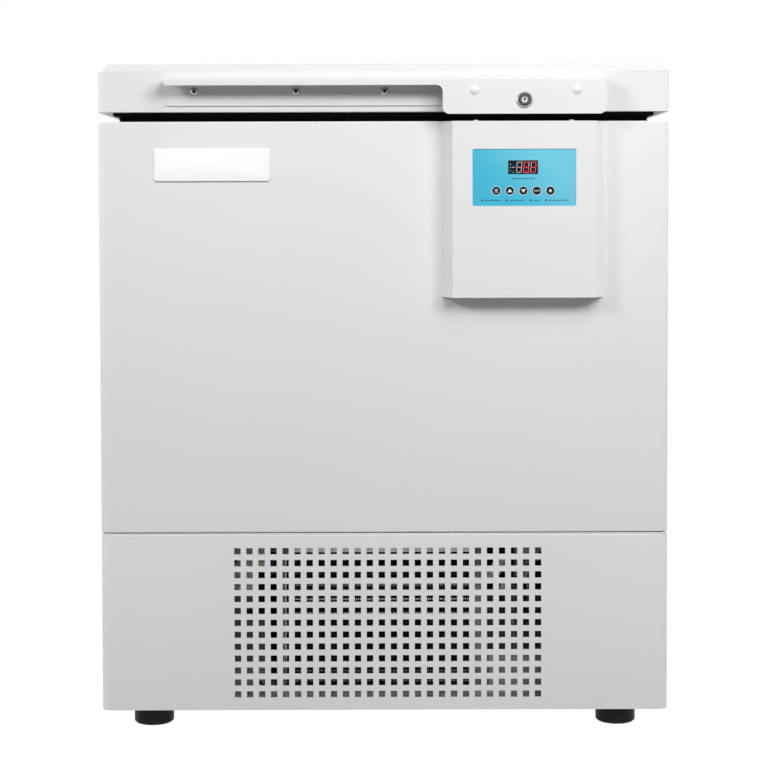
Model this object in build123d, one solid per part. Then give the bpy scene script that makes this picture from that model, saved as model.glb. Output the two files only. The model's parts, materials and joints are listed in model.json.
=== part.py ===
from build123d import *
import math
import os

# Ultra low temperature chest freezer, in millimetres.
# The origin lies on the floor under the middle of the whole object, +Z is up and the front faces -Y.

# Cabinet and lid as seen from outside
cabinet_width = 708.5
cabinet_depth = 640.0
corner_radius = 12.0
foot_height = 25.5
machine_height = 221.0
seam_gap = 2.0
chest_height = 511.3
lid_gap = 12.0
lid_height = 59.4
lid_chamfer = 9.0

# Sheet metal
sheet = 1.2
fold_radius = 2.0
rim_flange = 20.0
base_flange = 15.0
rear_return = 25.0
cover_return = 30.0
panel_gap = 1.0
panel_flange = 12.0

# Insulated chest
wall_thickness = 108.0
floor_thickness = 110.0
liner_sheet = 1.0
liner_radius = 30.0
liner_flange = 15.0
breaker_thickness = 3.0
breaker_tuck = 8.0
breaker_lip = 25.0

# Evaporator pressed round the liner
coil_width = 12.0
coil_thickness = 6.0
coil_levels = 4
coil_pitch = 80.0
coil_bottom_margin = 22.0
coil_gap = 60.0

# Temperature probe in the chest
probe_radius = 3.0
probe_bush_radius = 4.5
probe_length = 70.0
probe_drop = 120.0
probe_offset = 150.0
probe_standoff = 9.0

# Lid inside
pan_sheet = 2.0
pan_flange = 12.0
pan_joggle = 14.0
plug_clearance = 8.0
plug_drop = 38.0
plug_radius = 25.0
plug_taper = 5.0

# Lid gasket
gasket_inset = 24.5
gasket_width = 26.0
gasket_lip_inset = 17.5
gasket_lip_width = 36.0
gasket_lip_height = 4.0
gasket_groove = 0.6
gasket_groove_depth = 1.5

# Running and seating clearances
seat_gap = 0.3
running_gap = 0.1
overrun = 5.0

# Folded handle and lock bracket
bracket_gauge = 2.0
bracket_bend = 4.0
bracket_reach = 27.0
bracket_left_inset = 84.75
bracket_right_inset = 81.75
bracket_top_drop = 17.8
bracket_lip_height = 10.6
bracket_back_height = 34.3
bracket_lip_radius = 5.0
bracket_back_radius = 3.0
lock_plate_width = 200.0
lock_plate_height = 45.9
lock_plate_radius = 8.0
bracket_screw_to_lock = 61.6
bracket_screw_end_inset = 35.9
bracket_screw_drop = 16.8

# Button head screws and the caps over the access holes
screw_radius = 3.0
screw_head_radius = 5.3
screw_head_height = 3.3
screw_socket = 4.0
screw_socket_depth = 2.0
access_radius = 5.8
cap_radius = 6.4
cap_height = 2.2

# Cam lock
lock_side_inset = 181.75
lock_drop = 28.9
lock_ring_radius = 9.7
lock_ring_height = 2.0
lock_ring_bevel = 0.6
lock_face_radius = 7.6
lock_face_depth = 1.0
lock_body_radius = 8.0
lock_body_length = 17.0
lock_plug_radius = 5.4
lock_plug_recess = 0.4
keyway_width = 1.4
keyway_height = 6.5
keyway_depth = 6.0
lock_nut_across = 21.0
lock_nut_height = 3.5
cam_length = 32.0
cam_width = 14.0
cam_gauge = 2.0
cam_spare = 1.5

# Control housing on the cabinet front
housing_side_inset = 181.95
housing_width = 200.0
housing_slant = 12.0
housing_reach = 25.5
housing_height = 216.5
housing_top_drop = 1.0
housing_gauge = 2.0
housing_bracket_width = 24.0
housing_bracket_leg = 18.0
housing_bracket_offset = 58.7

# Display and keys
overlay_width = 127.0
overlay_height = 70.0
overlay_radius = 2.5
overlay_thickness = 1.0
overlay_recess = 1.0
overlay_drop = 69.1
led_width = 36.5
led_height = 16.6
led_centre_rise = 12.4
led_centre_shift = 1.5
key_count = 5
key_pitch = 16.55
key_radius = 4.75
key_gap = 0.3
key_drop = 16.3
key_centre_shift = 1.2
key_proud = 0.4
key_travel = 0.6
key_cap_depth = 2.4
key_stem = 3.0
switch_size = 6.2
stem_entry = 1.6
stem_spare = 1.4
carrier_margin = 7.0
carrier_grip = 4.0
carrier_gauge = 2.0
standoff_size = 6.0
board_gap = 7.5
board_thickness = 1.6

# Feet
foot_radius = 25.0
foot_bevel = 2.0
foot_side_inset = 60.3
foot_end_inset = 47.0

# Machine compartment
pan_gauge = 2.0
pan_wall = 25.0
pan_front_wall = 10.0
post_leg = 35.0
post_gauge = 3.0
post_radius = 10.0

# Punched grille in the lower front cover
grille_columns = 26
grille_rows = 13
grille_pitch = 15.0
grille_hole = 8.0
grille_shift = 4.1
grille_centre_rise = 109.8

# Vents in the lower rear cover
vent_columns = 3
vent_rows = 8
vent_width = 120.0
vent_slot = 6.0
vent_row_pitch = 18.0
vent_column_pitch = 150.0
vent_shift = 60.0

# Condenser
condenser_width = 238.0
condenser_height = 173.0
condenser_x = -3.0
condenser_setback = 75.0
condenser_depth = 44.0
condenser_rise = 4.0
fin_pitch = 2.65
fin_gauge = 0.4
tube_radius = 4.75
tube_rows = 9
tube_pitch = 17.7
tube_first_rise = 6.5
tube_return = 9.0
side_plate_gauge = 1.5
side_plate_foot = 16.0
side_plate_flange = 10.0

# Fan behind the condenser
shroud_depth = 34.0
shroud_gauge = 1.2
shroud_flange = 5.0
shroud_rise = 5.0
shroud_upstand = 8.0
fan_radius = 78.0
fan_tip_gap = 4.0
fan_blades = 5
hub_radius = 22.0
hub_length = 16.0
blade_gauge = 1.6
blade_chord = 46.0
blade_pitch_angle = 30.0
shaft_radius = 3.0
motor_radius = 38.0
motor_length = 42.0
motor_gap = 8.0
motor_strap_width = 24.0
motor_strap_gauge = 2.0

# Compressors for the high and the low stage
compressor_radius = 78.0
compressor_height = 140.0
compressor_dome = 34.0
compressor_side_inset = 189.0
compressor_rear_gap = 130.0
compressor_foot_width = 190.0
compressor_foot_depth = 110.0
compressor_foot_gauge = 3.0
compressor_side_share = 0.92
compressor_top_share = 0.55
grommet_radius = 11.0
grommet_height = 14.0
grommet_inset = 15.0
terminal_width = 52.0
terminal_depth = 30.0
terminal_height = 58.0

# Cascade heat exchanger, expansion tank and electrical box
exchanger_width = 76.0
exchanger_depth = 52.0
exchanger_height = 190.0
exchanger_radius = 8.0
exchanger_setback = 230.0
tank_radius = 46.0
tank_height = 180.0
tank_cone = 22.0
tank_side_inset = 96.0
tank_setback = 235.0
box_depth = 70.0
box_height = 190.0
box_left_inset = 51.75
box_condenser_gap = 15.0
box_setback = 72.0
box_gauge = 1.2

# Filter dryer and pipes
dryer_radius = 14.0
dryer_length = 74.0
dryer_cone = 14.0
dryer_gap = 53.0
dryer_rise = 90.0
pipe_radius = 4.0
pipe_drop = 14.0
capillary_radius = 1.5
discharge_riser = 14.0
discharge_turn_gap = 30.0

# Sheet guard round the filter dryer
guard_gap = 8.0
guard_width = 74.0
guard_depth = 48.0
guard_front_height = 52.0
guard_rear_height = 124.0
guard_gauge = 1.2

# Rear inlet and switch
inlet_width = 50.0
inlet_height = 28.0
inlet_flange = 5.0
inlet_flange_gauge = 2.0
inlet_depth = 24.0
inlet_wall = 3.0
inlet_side_inset = 94.0
inlet_rise = 40.0
pin_width = 6.5
pin_gauge = 2.0
pin_pitch = 13.0
switch_gap = 16.0
rocker_width = 14.0
rocker_height = 24.0
rocker_depth = 7.0
rocker_angle = 8.0
rocker_ease = 1.5
rocker_frame = 3.0
rocker_frame_depth = 18.0

# Rear hinges
hinge_side_inset = 149.0
hinge_width = 60.0
hinge_ear = 15.0
hinge_gap = 0.5
hinge_leaf = 2.5
hinge_knuckle_radius = 7.5
hinge_pin_radius = 3.5
hinge_cabinet_leaf_height = 58.0
hinge_lid_leaf_height = 42.0
hinge_leaf_lift = 10.0
pin_running_gap = 0.08

# Levels and planes that follow from the sizes above
machine_top = foot_height + machine_height
chest_bottom = machine_top + seam_gap
rim = chest_bottom + chest_height
lid_bottom = rim + lid_gap
lid_top = lid_bottom + lid_height
half_width = cabinet_width / 2
front_reach = bracket_reach + lock_ring_height
rear_reach = 2 * hinge_knuckle_radius
front = front_reach - (front_reach + cabinet_depth + rear_reach) / 2
rear = front + cabinet_depth
middle = (front + rear) / 2
deck_top = chest_bottom + 2 * sheet
liner_inset = wall_thickness
liner_floor = chest_bottom + floor_thickness
breaker_bottom = rim - breaker_thickness
pan_floor = foot_height + pan_gauge
bracket_top = lid_top - bracket_top_drop
bracket_front = front - bracket_reach
bracket_left = half_width - bracket_left_inset
bracket_right = half_width - bracket_right_inset
lock_plate_left = bracket_right - lock_plate_width
lock_x = half_width - lock_side_inset
lock_z = bracket_top - lock_drop
housing_x = half_width - housing_side_inset
housing_top = rim - housing_top_drop
housing_bottom = housing_top - housing_height
housing_front = front - housing_reach
condenser_front = front + condenser_setback
condenser_bottom = pan_floor + condenser_rise
fan_z = condenser_bottom + condenser_height / 2
switch_height = stem_entry + key_travel + stem_spare
hinge_y = rear + hinge_knuckle_radius
hinge_z = rim + lid_gap / 2
inlet_x = inlet_side_inset - half_width


def block(x_range, y_range, z_range):
    """Plain block between the two ends of each range."""
    (x0, x1), (y0, y1), (z0, z1) = x_range, y_range, z_range
    size = Box(x1 - x0, y1 - y0, z1 - z0)
    return Pos((x0 + x1) / 2, (y0 + y1) / 2, (z0 + z1) / 2) * size


def corner_at(inset):
    """Corner radius of the cabinet outline once it is drawn in by inset."""
    return max(corner_radius - inset, 0)


def outline(width, depth, radius):
    """Rectangle about the cabinet's middle, with rounded corners where radius isn't zero."""
    face = RectangleRounded(width, depth, radius) if radius > 0 else Rectangle(width, depth)
    return Pos(0, middle) * face


def slab(inset, bottom, top, radius=0):
    """Block of the cabinet outline drawn in by inset, between two levels."""
    face = outline(cabinet_width - 2 * inset, cabinet_depth - 2 * inset, radius)
    return Pos(0, 0, bottom) * extrude(face, top - bottom)


def ring(outer, inner, bottom, top, outer_radius=0, inner_radius=0):
    """Frame between two insets of the cabinet outline."""
    hole = slab(inner, bottom - overrun, top + overrun, inner_radius)
    return slab(outer, bottom, top, outer_radius) - hole


def facing(face, back, depth):
    """Sketch of X and Z, thickened by depth from the plane back towards the front."""
    plane = Plane(origin=(0, back, 0), x_dir=(1, 0, 0), z_dir=(0, -1, 0))
    return extrude(plane * face, depth)


def rod(x, z, radius, y0, y1):
    """Round rod along Y."""
    return facing(Pos(x, z) * Circle(radius), y1, y1 - y0)


def domed(x, z, radius, height, back):
    """Round head that stands on the plane back and bulges to the front like a slice of a ball."""
    ball = (radius**2 + height**2) / (2 * height)
    return rod(x, z, radius, back - height, back) & Pos(x, back - height + ball, z) * Sphere(ball)


def bar(x0, x1, y, z, radius):
    """Round bar along X."""
    return extrude(Plane.YZ.offset(x0) * Pos(y, z) * Circle(radius), x1 - x0)


def across(face, x0, x1):
    """Sketch of Y and Z, drawn out along X."""
    return extrude(Plane.YZ.offset(x0) * face, x1 - x0)


def turned(profile, x, y, z):
    """Body of revolution about a vertical axis, from a list of radius and height."""
    section = make_face(Polyline(*[(r, 0, h) for r, h in profile], close=True))
    return Pos(x, y, z) * revolve(section, Axis.Z)


def piped(points, radius):
    """Tube along straight runs with mitred elbows."""
    path = Polyline(*points)
    start = Plane(origin=path @ 0, z_dir=path % 0)
    return sweep(start * Circle(radius), path=path, transition=Transition.RIGHT)


def save(name, *pieces):
    """Write one node, as one solid or as a group of separate solids."""
    solids = [solid for piece in pieces for solid in piece.solids()]
    shape = solids[0] if len(solids) == 1 else Compound(children=solids)
    export_step(shape, os.path.join("parts", name + ".step"))


# Insulated chest


def upper_wrapper():
    """Front and sides of the chest folded from one sheet, with flanges and rear returns."""
    body = slab(0, chest_bottom, rim, corner_radius)
    body = fillet(body.faces().filter_by(Axis.Z).edges(), fold_radius)
    body -= slab(sheet, chest_bottom + sheet, rim - sheet, corner_at(sheet))
    body -= slab(rim_flange, rim - sheet - overrun, rim + overrun)
    body -= slab(base_flange, chest_bottom - overrun, chest_bottom + sheet + overrun)
    opening = half_width - rear_return
    back = (rear - sheet - running_gap, rear + overrun)
    return body - block((-opening, opening), back, (chest_bottom + sheet, rim - sheet))


def rear_panel():
    """Flat back of the chest, inside the returns of the wrapper."""
    half = half_width - corner_radius
    return block((-half, half), (rear - 2 * sheet, rear - sheet), (chest_bottom + sheet, rim - sheet))


def core(bottom, top):
    """Block that fills the chest between its front, side and rear sheets."""
    face = RectangleRounded(cabinet_width - 2 * sheet, cabinet_depth - 3 * sheet, corner_at(sheet))
    return Pos(0, middle - sheet / 2, bottom) * extrude(face, top - bottom)


def chest_deck():
    """Steel plate under the insulation, resting on the wrapper's base flange."""
    return core(chest_bottom + sheet, deck_top) - coil_stub(pipe_radius + running_gap)


def inner_liner():
    """Stainless tub with rounded corners and a rim flange."""
    outer = liner_inset - liner_sheet
    tub = slab(outer, liner_floor - liner_sheet, breaker_bottom, liner_radius + liner_sheet)
    flange = slab(outer - liner_flange, breaker_bottom - liner_sheet, breaker_bottom, liner_radius)
    return tub + flange - slab(liner_inset, liner_floor, breaker_bottom + overrun, liner_radius)


def breaker_frame():
    """Plastic frame over the rim, tucked under the wrapper's flange, with a lip down the liner."""
    lip_outer = liner_inset + seat_gap
    lip_inner = lip_outer + breaker_thickness
    radius = liner_radius - seat_gap
    frame = slab(rim_flange + seat_gap, breaker_bottom, rim)
    frame += slab(rim_flange - breaker_tuck, breaker_bottom, rim - sheet)
    frame += slab(lip_outer, rim - breaker_lip, rim, radius)
    return frame - slab(lip_inner, rim - breaker_lip - overrun, rim + overrun, radius - breaker_thickness)


def stub_end():
    """Level where the evaporator's stub ends below the deck."""
    return chest_bottom - pipe_drop


def coil_stub(radius):
    """Pipe from the lowest turn of the coil down through the deck."""
    y = rear - liner_inset + liner_sheet + coil_thickness / 2
    top = liner_floor + coil_bottom_margin
    return Pos(-coil_gap, y, stub_end()) * extrude(Circle(radius), top - stub_end())


def evaporator_coil():
    """Flattened tube wound round the liner, level by level, with risers at the rear."""
    inner = liner_inset - liner_sheet
    outer = inner - coil_thickness
    radius = liner_radius + liner_sheet
    y = (rear - inner, rear - outer)
    coil = coil_stub(coil_thickness / 2)
    for level in range(coil_levels):
        bottom = liner_floor + coil_bottom_margin + level * coil_pitch
        turn = ring(outer, inner, bottom, bottom + coil_width, radius + coil_thickness, radius)
        edge = coil_gap - coil_width / 2
        coil += turn - block((-edge, edge), (y[0] - overrun, y[1] + overrun), (bottom, bottom + coil_width))
        if level + 1 < coil_levels:
            side = coil_gap if level % 2 == 0 else -coil_gap
            x = (side - coil_width / 2, side + coil_width / 2)
            coil += block(x, y, (bottom, bottom + coil_pitch + coil_width))
    return coil


def cabinet_foam():
    """Rigid foam between the outer sheets and the liner, with a pocket for the coil."""
    foam = core(deck_top, breaker_bottom)
    foam -= slab(liner_inset - liner_sheet, liner_floor - liner_sheet, rim, liner_radius + liner_sheet)
    flange_inset = liner_inset - liner_sheet - liner_flange
    foam -= slab(flange_inset, breaker_bottom - liner_sheet, rim, liner_radius)
    return foam - evaporator_coil()


def temperature_probe():
    """Steel sheath clipped to the rear wall of the liner by a short bush."""
    wall = rear - liner_inset
    y = wall - probe_standoff
    top = rim - probe_drop
    sheath = Pos(probe_offset, y, top - probe_length) * extrude(Circle(probe_radius), probe_length)
    level = top - probe_length / 2
    return sheath + rod(probe_offset, level, probe_bush_radius, y - probe_bush_radius, wall)


# Lid


def lid_form(inset, bottom):
    """Lid's outer form with its sloped upper edge, drawn in by inset."""
    form = slab(inset, bottom, lid_top - inset, corner_at(inset))
    slope = lid_chamfer - inset * (2 - math.sqrt(2))
    return chamfer(form.faces().sort_by(Axis.Z)[-1].edges(), slope)


def lid_shell():
    """Folded steel lid with a return flange under its edge and holes for the handle."""
    shell = lid_form(0, lid_bottom) - lid_form(sheet, lid_bottom + sheet)
    shell -= slab(pan_flange, lid_bottom - overrun, lid_bottom + sheet + overrun)
    for x in bracket_screws():
        shell -= rod(x, bracket_screw_z(), screw_radius + running_gap, front - overrun, front + overrun)
    return shell


def plug_block(inset, drop):
    """Tapered block that hangs from the lid into the chest."""
    face = RectangleRounded(
        cabinet_width - 2 * (liner_inset + plug_clearance + inset),
        cabinet_depth - 2 * (liner_inset + plug_clearance + inset),
        plug_radius - inset,
    )
    plane = Plane(origin=(0, middle, lid_bottom + pan_sheet), x_dir=(1, 0, 0), z_dir=(0, 0, -1))
    return extrude(plane * face, drop, taper=plug_taper)


def lid_inner_pan():
    """Moulded inner lid: joggled edge over the flange and a shallow plug."""
    joggle_inner = sheet + pan_joggle
    raised = lid_bottom + sheet
    pan = slab(sheet, raised, raised + pan_sheet, corner_at(sheet))
    pan -= slab(joggle_inner, raised, raised + pan_sheet)
    flat_outer = pan_flange + seat_gap
    pan += slab(flat_outer, lid_bottom, lid_bottom + pan_sheet)
    pan += plug_block(0, lid_gap + plug_drop + pan_sheet)
    return pan - plug_block(pan_sheet, lid_gap + plug_drop)


def lid_foam():
    """Rigid foam between the lid's shell and its inner pan."""
    foam = lid_form(sheet, lid_bottom + sheet + pan_sheet)
    foam += slab(sheet + pan_joggle, lid_bottom + pan_sheet, lid_bottom + pan_sheet + overrun)
    return foam + plug_block(pan_sheet, lid_gap + plug_drop)


def lid_gasket():
    """Ribbed rubber seal under the lid with mitred corners."""
    bottom = rim + seat_gap
    lip_bottom = lid_bottom - gasket_lip_height
    rib = (lip_bottom - bottom - 2 * gasket_groove) / 3
    neck = gasket_inset + gasket_groove_depth
    inner = gasket_inset + gasket_width
    seal = ring(neck, inner - gasket_groove_depth, bottom, lip_bottom)
    for level in range(3):
        base = bottom + level * (rib + gasket_groove)
        seal += ring(gasket_inset, inner, base, base + rib)
    return seal + ring(gasket_lip_inset, gasket_lip_inset + gasket_lip_width, lip_bottom, lid_bottom)


# Handle and lock


def bracket_screws():
    """X places of the five screws that hold the handle bracket."""
    centre = (bracket_right - bracket_left) / 2
    outer = (bracket_right + bracket_left) / 2 - bracket_screw_end_inset
    inner = lock_x - bracket_screw_to_lock - centre
    offsets = (-outer, -inner, 0, inner, outer)
    return [centre + offset for offset in offsets]


def bracket_screw_z():
    """Level of the handle screws."""
    return bracket_top - bracket_screw_drop


def handle_bracket():
    """Two sheets joined at the top bend: a front strip with grip lip and lock plate, and an angle on the lid."""
    x0, x1 = -bracket_left, bracket_right
    z_low = bracket_top - lock_plate_height
    outer = block((x0, x1), (bracket_front, front), (z_low, bracket_top))
    outer = fillet(outer.edges().filter_by(Axis.X).group_by(Axis.Z)[-1], bracket_bend)
    inner_y = (bracket_front + bracket_gauge, front - bracket_gauge)
    inner = block((x0 - overrun, x1 + overrun), inner_y, (z_low - overrun, bracket_top - bracket_gauge))
    inner = fillet(inner.edges().filter_by(Axis.X).group_by(Axis.Z)[-1], bracket_bend - bracket_gauge)
    folded = outer - inner
    split = bracket_front + bracket_bend
    back_low = bracket_top - bracket_back_height
    back = block((x0, x1), (split, front), (back_low, bracket_top))
    free_corner = back.edges().filter_by(Axis.Y).group_by(Axis.X)[0].sort_by(Axis.Z)[0]
    angle = folded & fillet(free_corner, bracket_back_radius)
    strip = folded & facing(bracket_front_outline(), split, bracket_bend)
    strip -= rod(lock_x, lock_z, lock_body_radius + running_gap, bracket_front - overrun, split)
    for x in bracket_screws():
        angle -= rod(x, bracket_screw_z(), screw_radius + running_gap, split, front + overrun)
        if x > lock_plate_left:
            strip -= rod(x, bracket_screw_z(), access_radius, bracket_front - overrun, split)
    return [strip, angle]


def bracket_front_outline():
    """Front view of the bracket: the grip lip on the left and the lock plate on the right."""
    lip_low = bracket_top - bracket_lip_height
    plate_low = bracket_top - lock_plate_height
    points = [
        (-bracket_left, bracket_top),
        (-bracket_left, lip_low),
        (lock_plate_left, lip_low),
        (lock_plate_left, plate_low),
        (bracket_right, plate_low),
        (bracket_right, bracket_top),
    ]
    face = make_face(Polyline(*points, close=True))
    low = face.vertices().sort_by(Axis.Y)
    face = fillet(low[0:2], lock_plate_radius)
    inner = face.vertices().sort_by_distance((lock_plate_left, lip_low))[0]
    face = fillet(inner, lock_plate_radius)
    corner = face.vertices().sort_by_distance((-bracket_left, lip_low))[0]
    return fillet(corner, bracket_lip_radius)


def handle_screws():
    """Button head socket screws through the back plate into the lid's shell."""
    seat = front - bracket_gauge
    screws = []
    for x in bracket_screws():
        head = domed(x, bracket_screw_z(), screw_head_radius, screw_head_height, seat)
        head -= facing(
            Pos(x, bracket_screw_z()) * RegularPolygon(screw_socket / 2, 6, major_radius=False),
            seat - screw_head_height + screw_socket_depth,
            screw_socket_depth + overrun,
        )
        screws.append(head + rod(x, bracket_screw_z(), screw_radius, seat, front + sheet))
    return screws


def screw_caps():
    """Domed plastic caps in the two access holes of the lock plate."""
    caps = []
    for x in bracket_screws():
        if x > lock_plate_left:
            cap = domed(x, bracket_screw_z(), cap_radius, cap_height, bracket_front)
            stem_end = bracket_front + bracket_gauge
            caps.append(cap + rod(x, bracket_screw_z(), access_radius - running_gap, bracket_front, stem_end))
    return caps


def lock_back():
    """Plane where the lock's barrel ends and its cam begins."""
    return bracket_front + lock_body_length


def lock_barrel():
    """Lock barrel with a raised front ring and a sunk face, through the lock plate."""
    ring_front = bracket_front - lock_ring_height
    collar = rod(lock_x, lock_z, lock_ring_radius, ring_front, bracket_front)
    collar = chamfer(collar.faces().sort_by(Axis.Y)[0].edges(), lock_ring_bevel)
    barrel = collar + rod(lock_x, lock_z, lock_body_radius, bracket_front, lock_back())
    barrel -= rod(lock_x, lock_z, lock_face_radius, ring_front - overrun, ring_front + lock_face_depth)
    bore = lock_plug_radius + running_gap
    return barrel - rod(lock_x, lock_z, bore, ring_front - overrun, lock_back() + overrun)


def lock_nut():
    """Hexagon nut that clamps the barrel behind the lock plate."""
    back = bracket_front + bracket_gauge + lock_nut_height
    face = RegularPolygon(lock_nut_across / 2, 6, major_radius=False)
    nut = facing(Pos(lock_x, lock_z) * face, back, lock_nut_height)
    return nut - rod(lock_x, lock_z, lock_body_radius + running_gap, bracket_front, back + overrun)


def lock_plug():
    """Turning plug with its keyway."""
    nose = bracket_front - lock_ring_height + lock_plug_recess
    plug = rod(lock_x, lock_z, lock_plug_radius, nose, lock_back() + seat_gap)
    slot = Rectangle(keyway_width, keyway_height)
    return plug - facing(Pos(lock_x, lock_z) * slot, nose + keyway_depth, keyway_depth + overrun)


def lock_cam():
    """Flat cam that lies sideways when unlocked and turns down into the housing's slot."""
    start = lock_back() + seat_gap
    reach = cam_length - cam_width / 2
    face = Pos(lock_x + reach / 2, lock_z) * SlotCenterToCenter(reach, cam_width)
    return facing(face, start + cam_gauge, cam_gauge)


# Control housing


def housing_section(inset):
    """Housing from above, with slanted sides, drawn in by inset."""
    half = housing_width / 2 - inset
    slant = housing_slant
    face_half = half - slant
    points = [
        (housing_x - half, front),
        (housing_x + half, front),
        (housing_x + face_half, housing_front + inset),
        (housing_x - face_half, housing_front + inset),
    ]
    return make_face(Polyline(*points, close=True))


def control_housing():
    """Thin cover with slanted sides, a display opening and a slot for the cam."""
    height = housing_top - housing_bottom
    cover = Pos(0, 0, housing_bottom) * extrude(housing_section(0), height)
    room = Pos(0, 0, housing_bottom + housing_gauge)
    cover -= room * extrude(housing_section(housing_gauge), height - 2 * housing_gauge)
    window = Pos(housing_x, overlay_z()) * RectangleRounded(overlay_width, overlay_height, overlay_radius)
    cover -= facing(window, housing_front + housing_gauge + running_gap, housing_gauge + overrun)
    cam_y = (lock_back() + seat_gap - cam_spare, lock_back() + seat_gap + cam_gauge + cam_spare)
    cam_x = (lock_x - cam_width / 2 - cam_spare, lock_x + cam_length - cam_spare)
    return cover - block(cam_x, cam_y, (housing_top - housing_gauge - overrun, housing_top + overrun))


def housing_brackets():
    """Four small angles on the cabinet front, inside the housing's top and bottom flanges."""
    angles = []
    for side in (-1, 1):
        x = housing_x + side * housing_bracket_offset
        width = (x - housing_bracket_width / 2, x + housing_bracket_width / 2)
        for level, turn in ((housing_top - housing_gauge, -1), (housing_bottom + housing_gauge, 1)):
            far = level + turn * housing_bracket_leg
            near = level + turn * housing_gauge
            leg = block(width, (front - housing_gauge, front), (min(level, far), max(level, far)))
            shelf = block(width, (front - housing_bracket_leg, front), (min(level, near), max(level, near)))
            angles.append(leg + shelf)
    return angles


def overlay_z():
    """Level of the middle of the display overlay."""
    return housing_top - overlay_drop


def key_places():
    """X and Z of the five round keys."""
    first = housing_x - key_centre_shift - key_pitch * (key_count - 1) / 2
    return [(first + n * key_pitch, overlay_z() - key_drop) for n in range(key_count)]


def overlay_front():
    """Plane of the overlay's face."""
    return housing_front + overlay_recess


def display_overlay():
    """Coloured front plate with a display window and round key holes."""
    plate = RectangleRounded(overlay_width - running_gap, overlay_height - running_gap, overlay_radius)
    face = Pos(housing_x, overlay_z()) * plate
    face -= Pos(led_x(), led_z()) * Rectangle(led_width + 2 * running_gap, led_height + 2 * running_gap)
    for x, z in key_places():
        face -= Pos(x, z) * Circle(key_radius + key_gap)
    return facing(face, overlay_front() + overlay_thickness, overlay_thickness)


def led_x():
    """Middle of the display window."""
    return housing_x - led_centre_shift


def led_z():
    """Level of the middle of the display window."""
    return overlay_z() + led_centre_rise


def carrier_back():
    """Plane behind the frame that holds the overlay."""
    return housing_front + housing_gauge + carrier_gauge


def board_front():
    """Front face of the circuit board."""
    return carrier_back() + board_gap


def display_carrier():
    """Frame that clamps the overlay from behind, with four standoffs for the board."""
    width = overlay_width + 2 * carrier_margin
    height = overlay_height + 2 * carrier_margin
    hole = Rectangle(overlay_width - 2 * carrier_grip, overlay_height - 2 * carrier_grip)
    face = Pos(housing_x, overlay_z()) * (Rectangle(width, height) - hole)
    frame = facing(face, carrier_back(), carrier_gauge)
    for side in (-1, 1):
        for level in (-1, 1):
            x = housing_x + side * (width - standoff_size) / 2
            z = overlay_z() + level * (height - standoff_size) / 2
            frame += facing(Pos(x, z) * Rectangle(standoff_size, standoff_size), board_front(), board_gap)
    return frame


def control_board():
    """Circuit board behind the keys and the display."""
    width = overlay_width + 2 * carrier_margin
    height = overlay_height + 2 * carrier_margin
    board = Pos(housing_x, overlay_z()) * Rectangle(width, height)
    return facing(board, board_front() + board_thickness, board_thickness)


def led_display():
    """Digit display that stands on the board and fills the overlay's window."""
    back = board_front()
    depth = back - overlay_front() - overlay_thickness / 4
    return facing(Pos(led_x(), led_z()) * Rectangle(led_width, led_height), back, depth)


def key_switches():
    """Five switch bodies on the board, each with a pocket for its key's stem."""
    switches = []
    for x, z in key_places():
        hole = Rectangle(key_stem + 2 * key_gap, key_stem + 2 * key_gap)
        face = Pos(x, z) * (Rectangle(switch_size, switch_size) - hole)
        switches.append(facing(face, board_front(), switch_height))
    return switches


def key(x, z):
    """Round key cap with a square stem that reaches into its switch."""
    nose = overlay_front() - key_proud
    cap = rod(x, z, key_radius, nose, nose + key_cap_depth)
    end = board_front() - switch_height + stem_entry
    stem = facing(Pos(x, z) * Rectangle(key_stem, key_stem), end, end - nose - key_cap_depth)
    return cap + stem


# Machine compartment


def base_pan():
    """Tray with upturned walls that carries the machinery, lower at the front."""
    pan = slab(sheet, foot_height, foot_height + pan_wall, corner_at(sheet))
    pan -= slab(sheet + pan_gauge, pan_floor, foot_height + pan_wall + overrun, corner_at(sheet + pan_gauge))
    wide = (-half_width, half_width)
    high = (pan_floor + pan_front_wall, foot_height + pan_wall + overrun)
    return pan - block(wide, (front, front + cover_return + panel_gap), high)


def rubber_feet():
    """Four round rubber feet with a bevelled sole."""
    profile = [
        (0, 0),
        (foot_radius - foot_bevel, 0),
        (foot_radius, foot_bevel),
        (foot_radius, foot_height),
        (0, foot_height),
    ]
    x = half_width - foot_side_inset
    ends = (front + foot_end_inset, rear - foot_end_inset)
    return [turned(profile, side * x, y, 0) for side in (-1, 1) for y in ends]


def corner_posts():
    """Four angle posts that carry the chest on the base pan."""
    inset = panel_flange + seat_gap
    frame = ring(inset, inset + post_gauge, pan_floor, chest_bottom, post_radius, post_radius - post_gauge)
    span = half_width - inset - post_leg
    depth = cabinet_depth / 2 - inset - post_leg
    tall = (foot_height, chest_bottom)
    frame -= block((-span, span), (front - overrun, rear + overrun), tall)
    return frame - block((-cabinet_width, cabinet_width), (middle - depth, middle + depth), tall)


def lower_skin(start, end):
    """Sheet round the machine compartment between two depths, with its top edge folded inwards."""
    skin = slab(0, foot_height, machine_top, corner_radius)
    skin = fillet(skin.faces().sort_by(Axis.Z)[-1].edges(), fold_radius)
    skin -= slab(sheet, foot_height - overrun, machine_top - sheet, corner_at(sheet))
    skin -= slab(panel_flange, machine_top - sheet - overrun, machine_top + overrun)
    return skin & block((-cabinet_width, cabinet_width), (start, end), (0, rim))


def lower_front_cover():
    """Lower front cover with its field of square holes."""
    centre_z = foot_height + grille_centre_rise
    grid = GridLocations(grille_pitch, grille_pitch, grille_columns, grille_rows)
    holes = Sketch() + [place * Rectangle(grille_hole, grille_hole) for place in grid]
    punch = facing(Pos(grille_shift, centre_z) * holes, front + sheet + overrun, sheet + 2 * overrun)
    return lower_skin(front, front + cover_return) - punch


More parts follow.
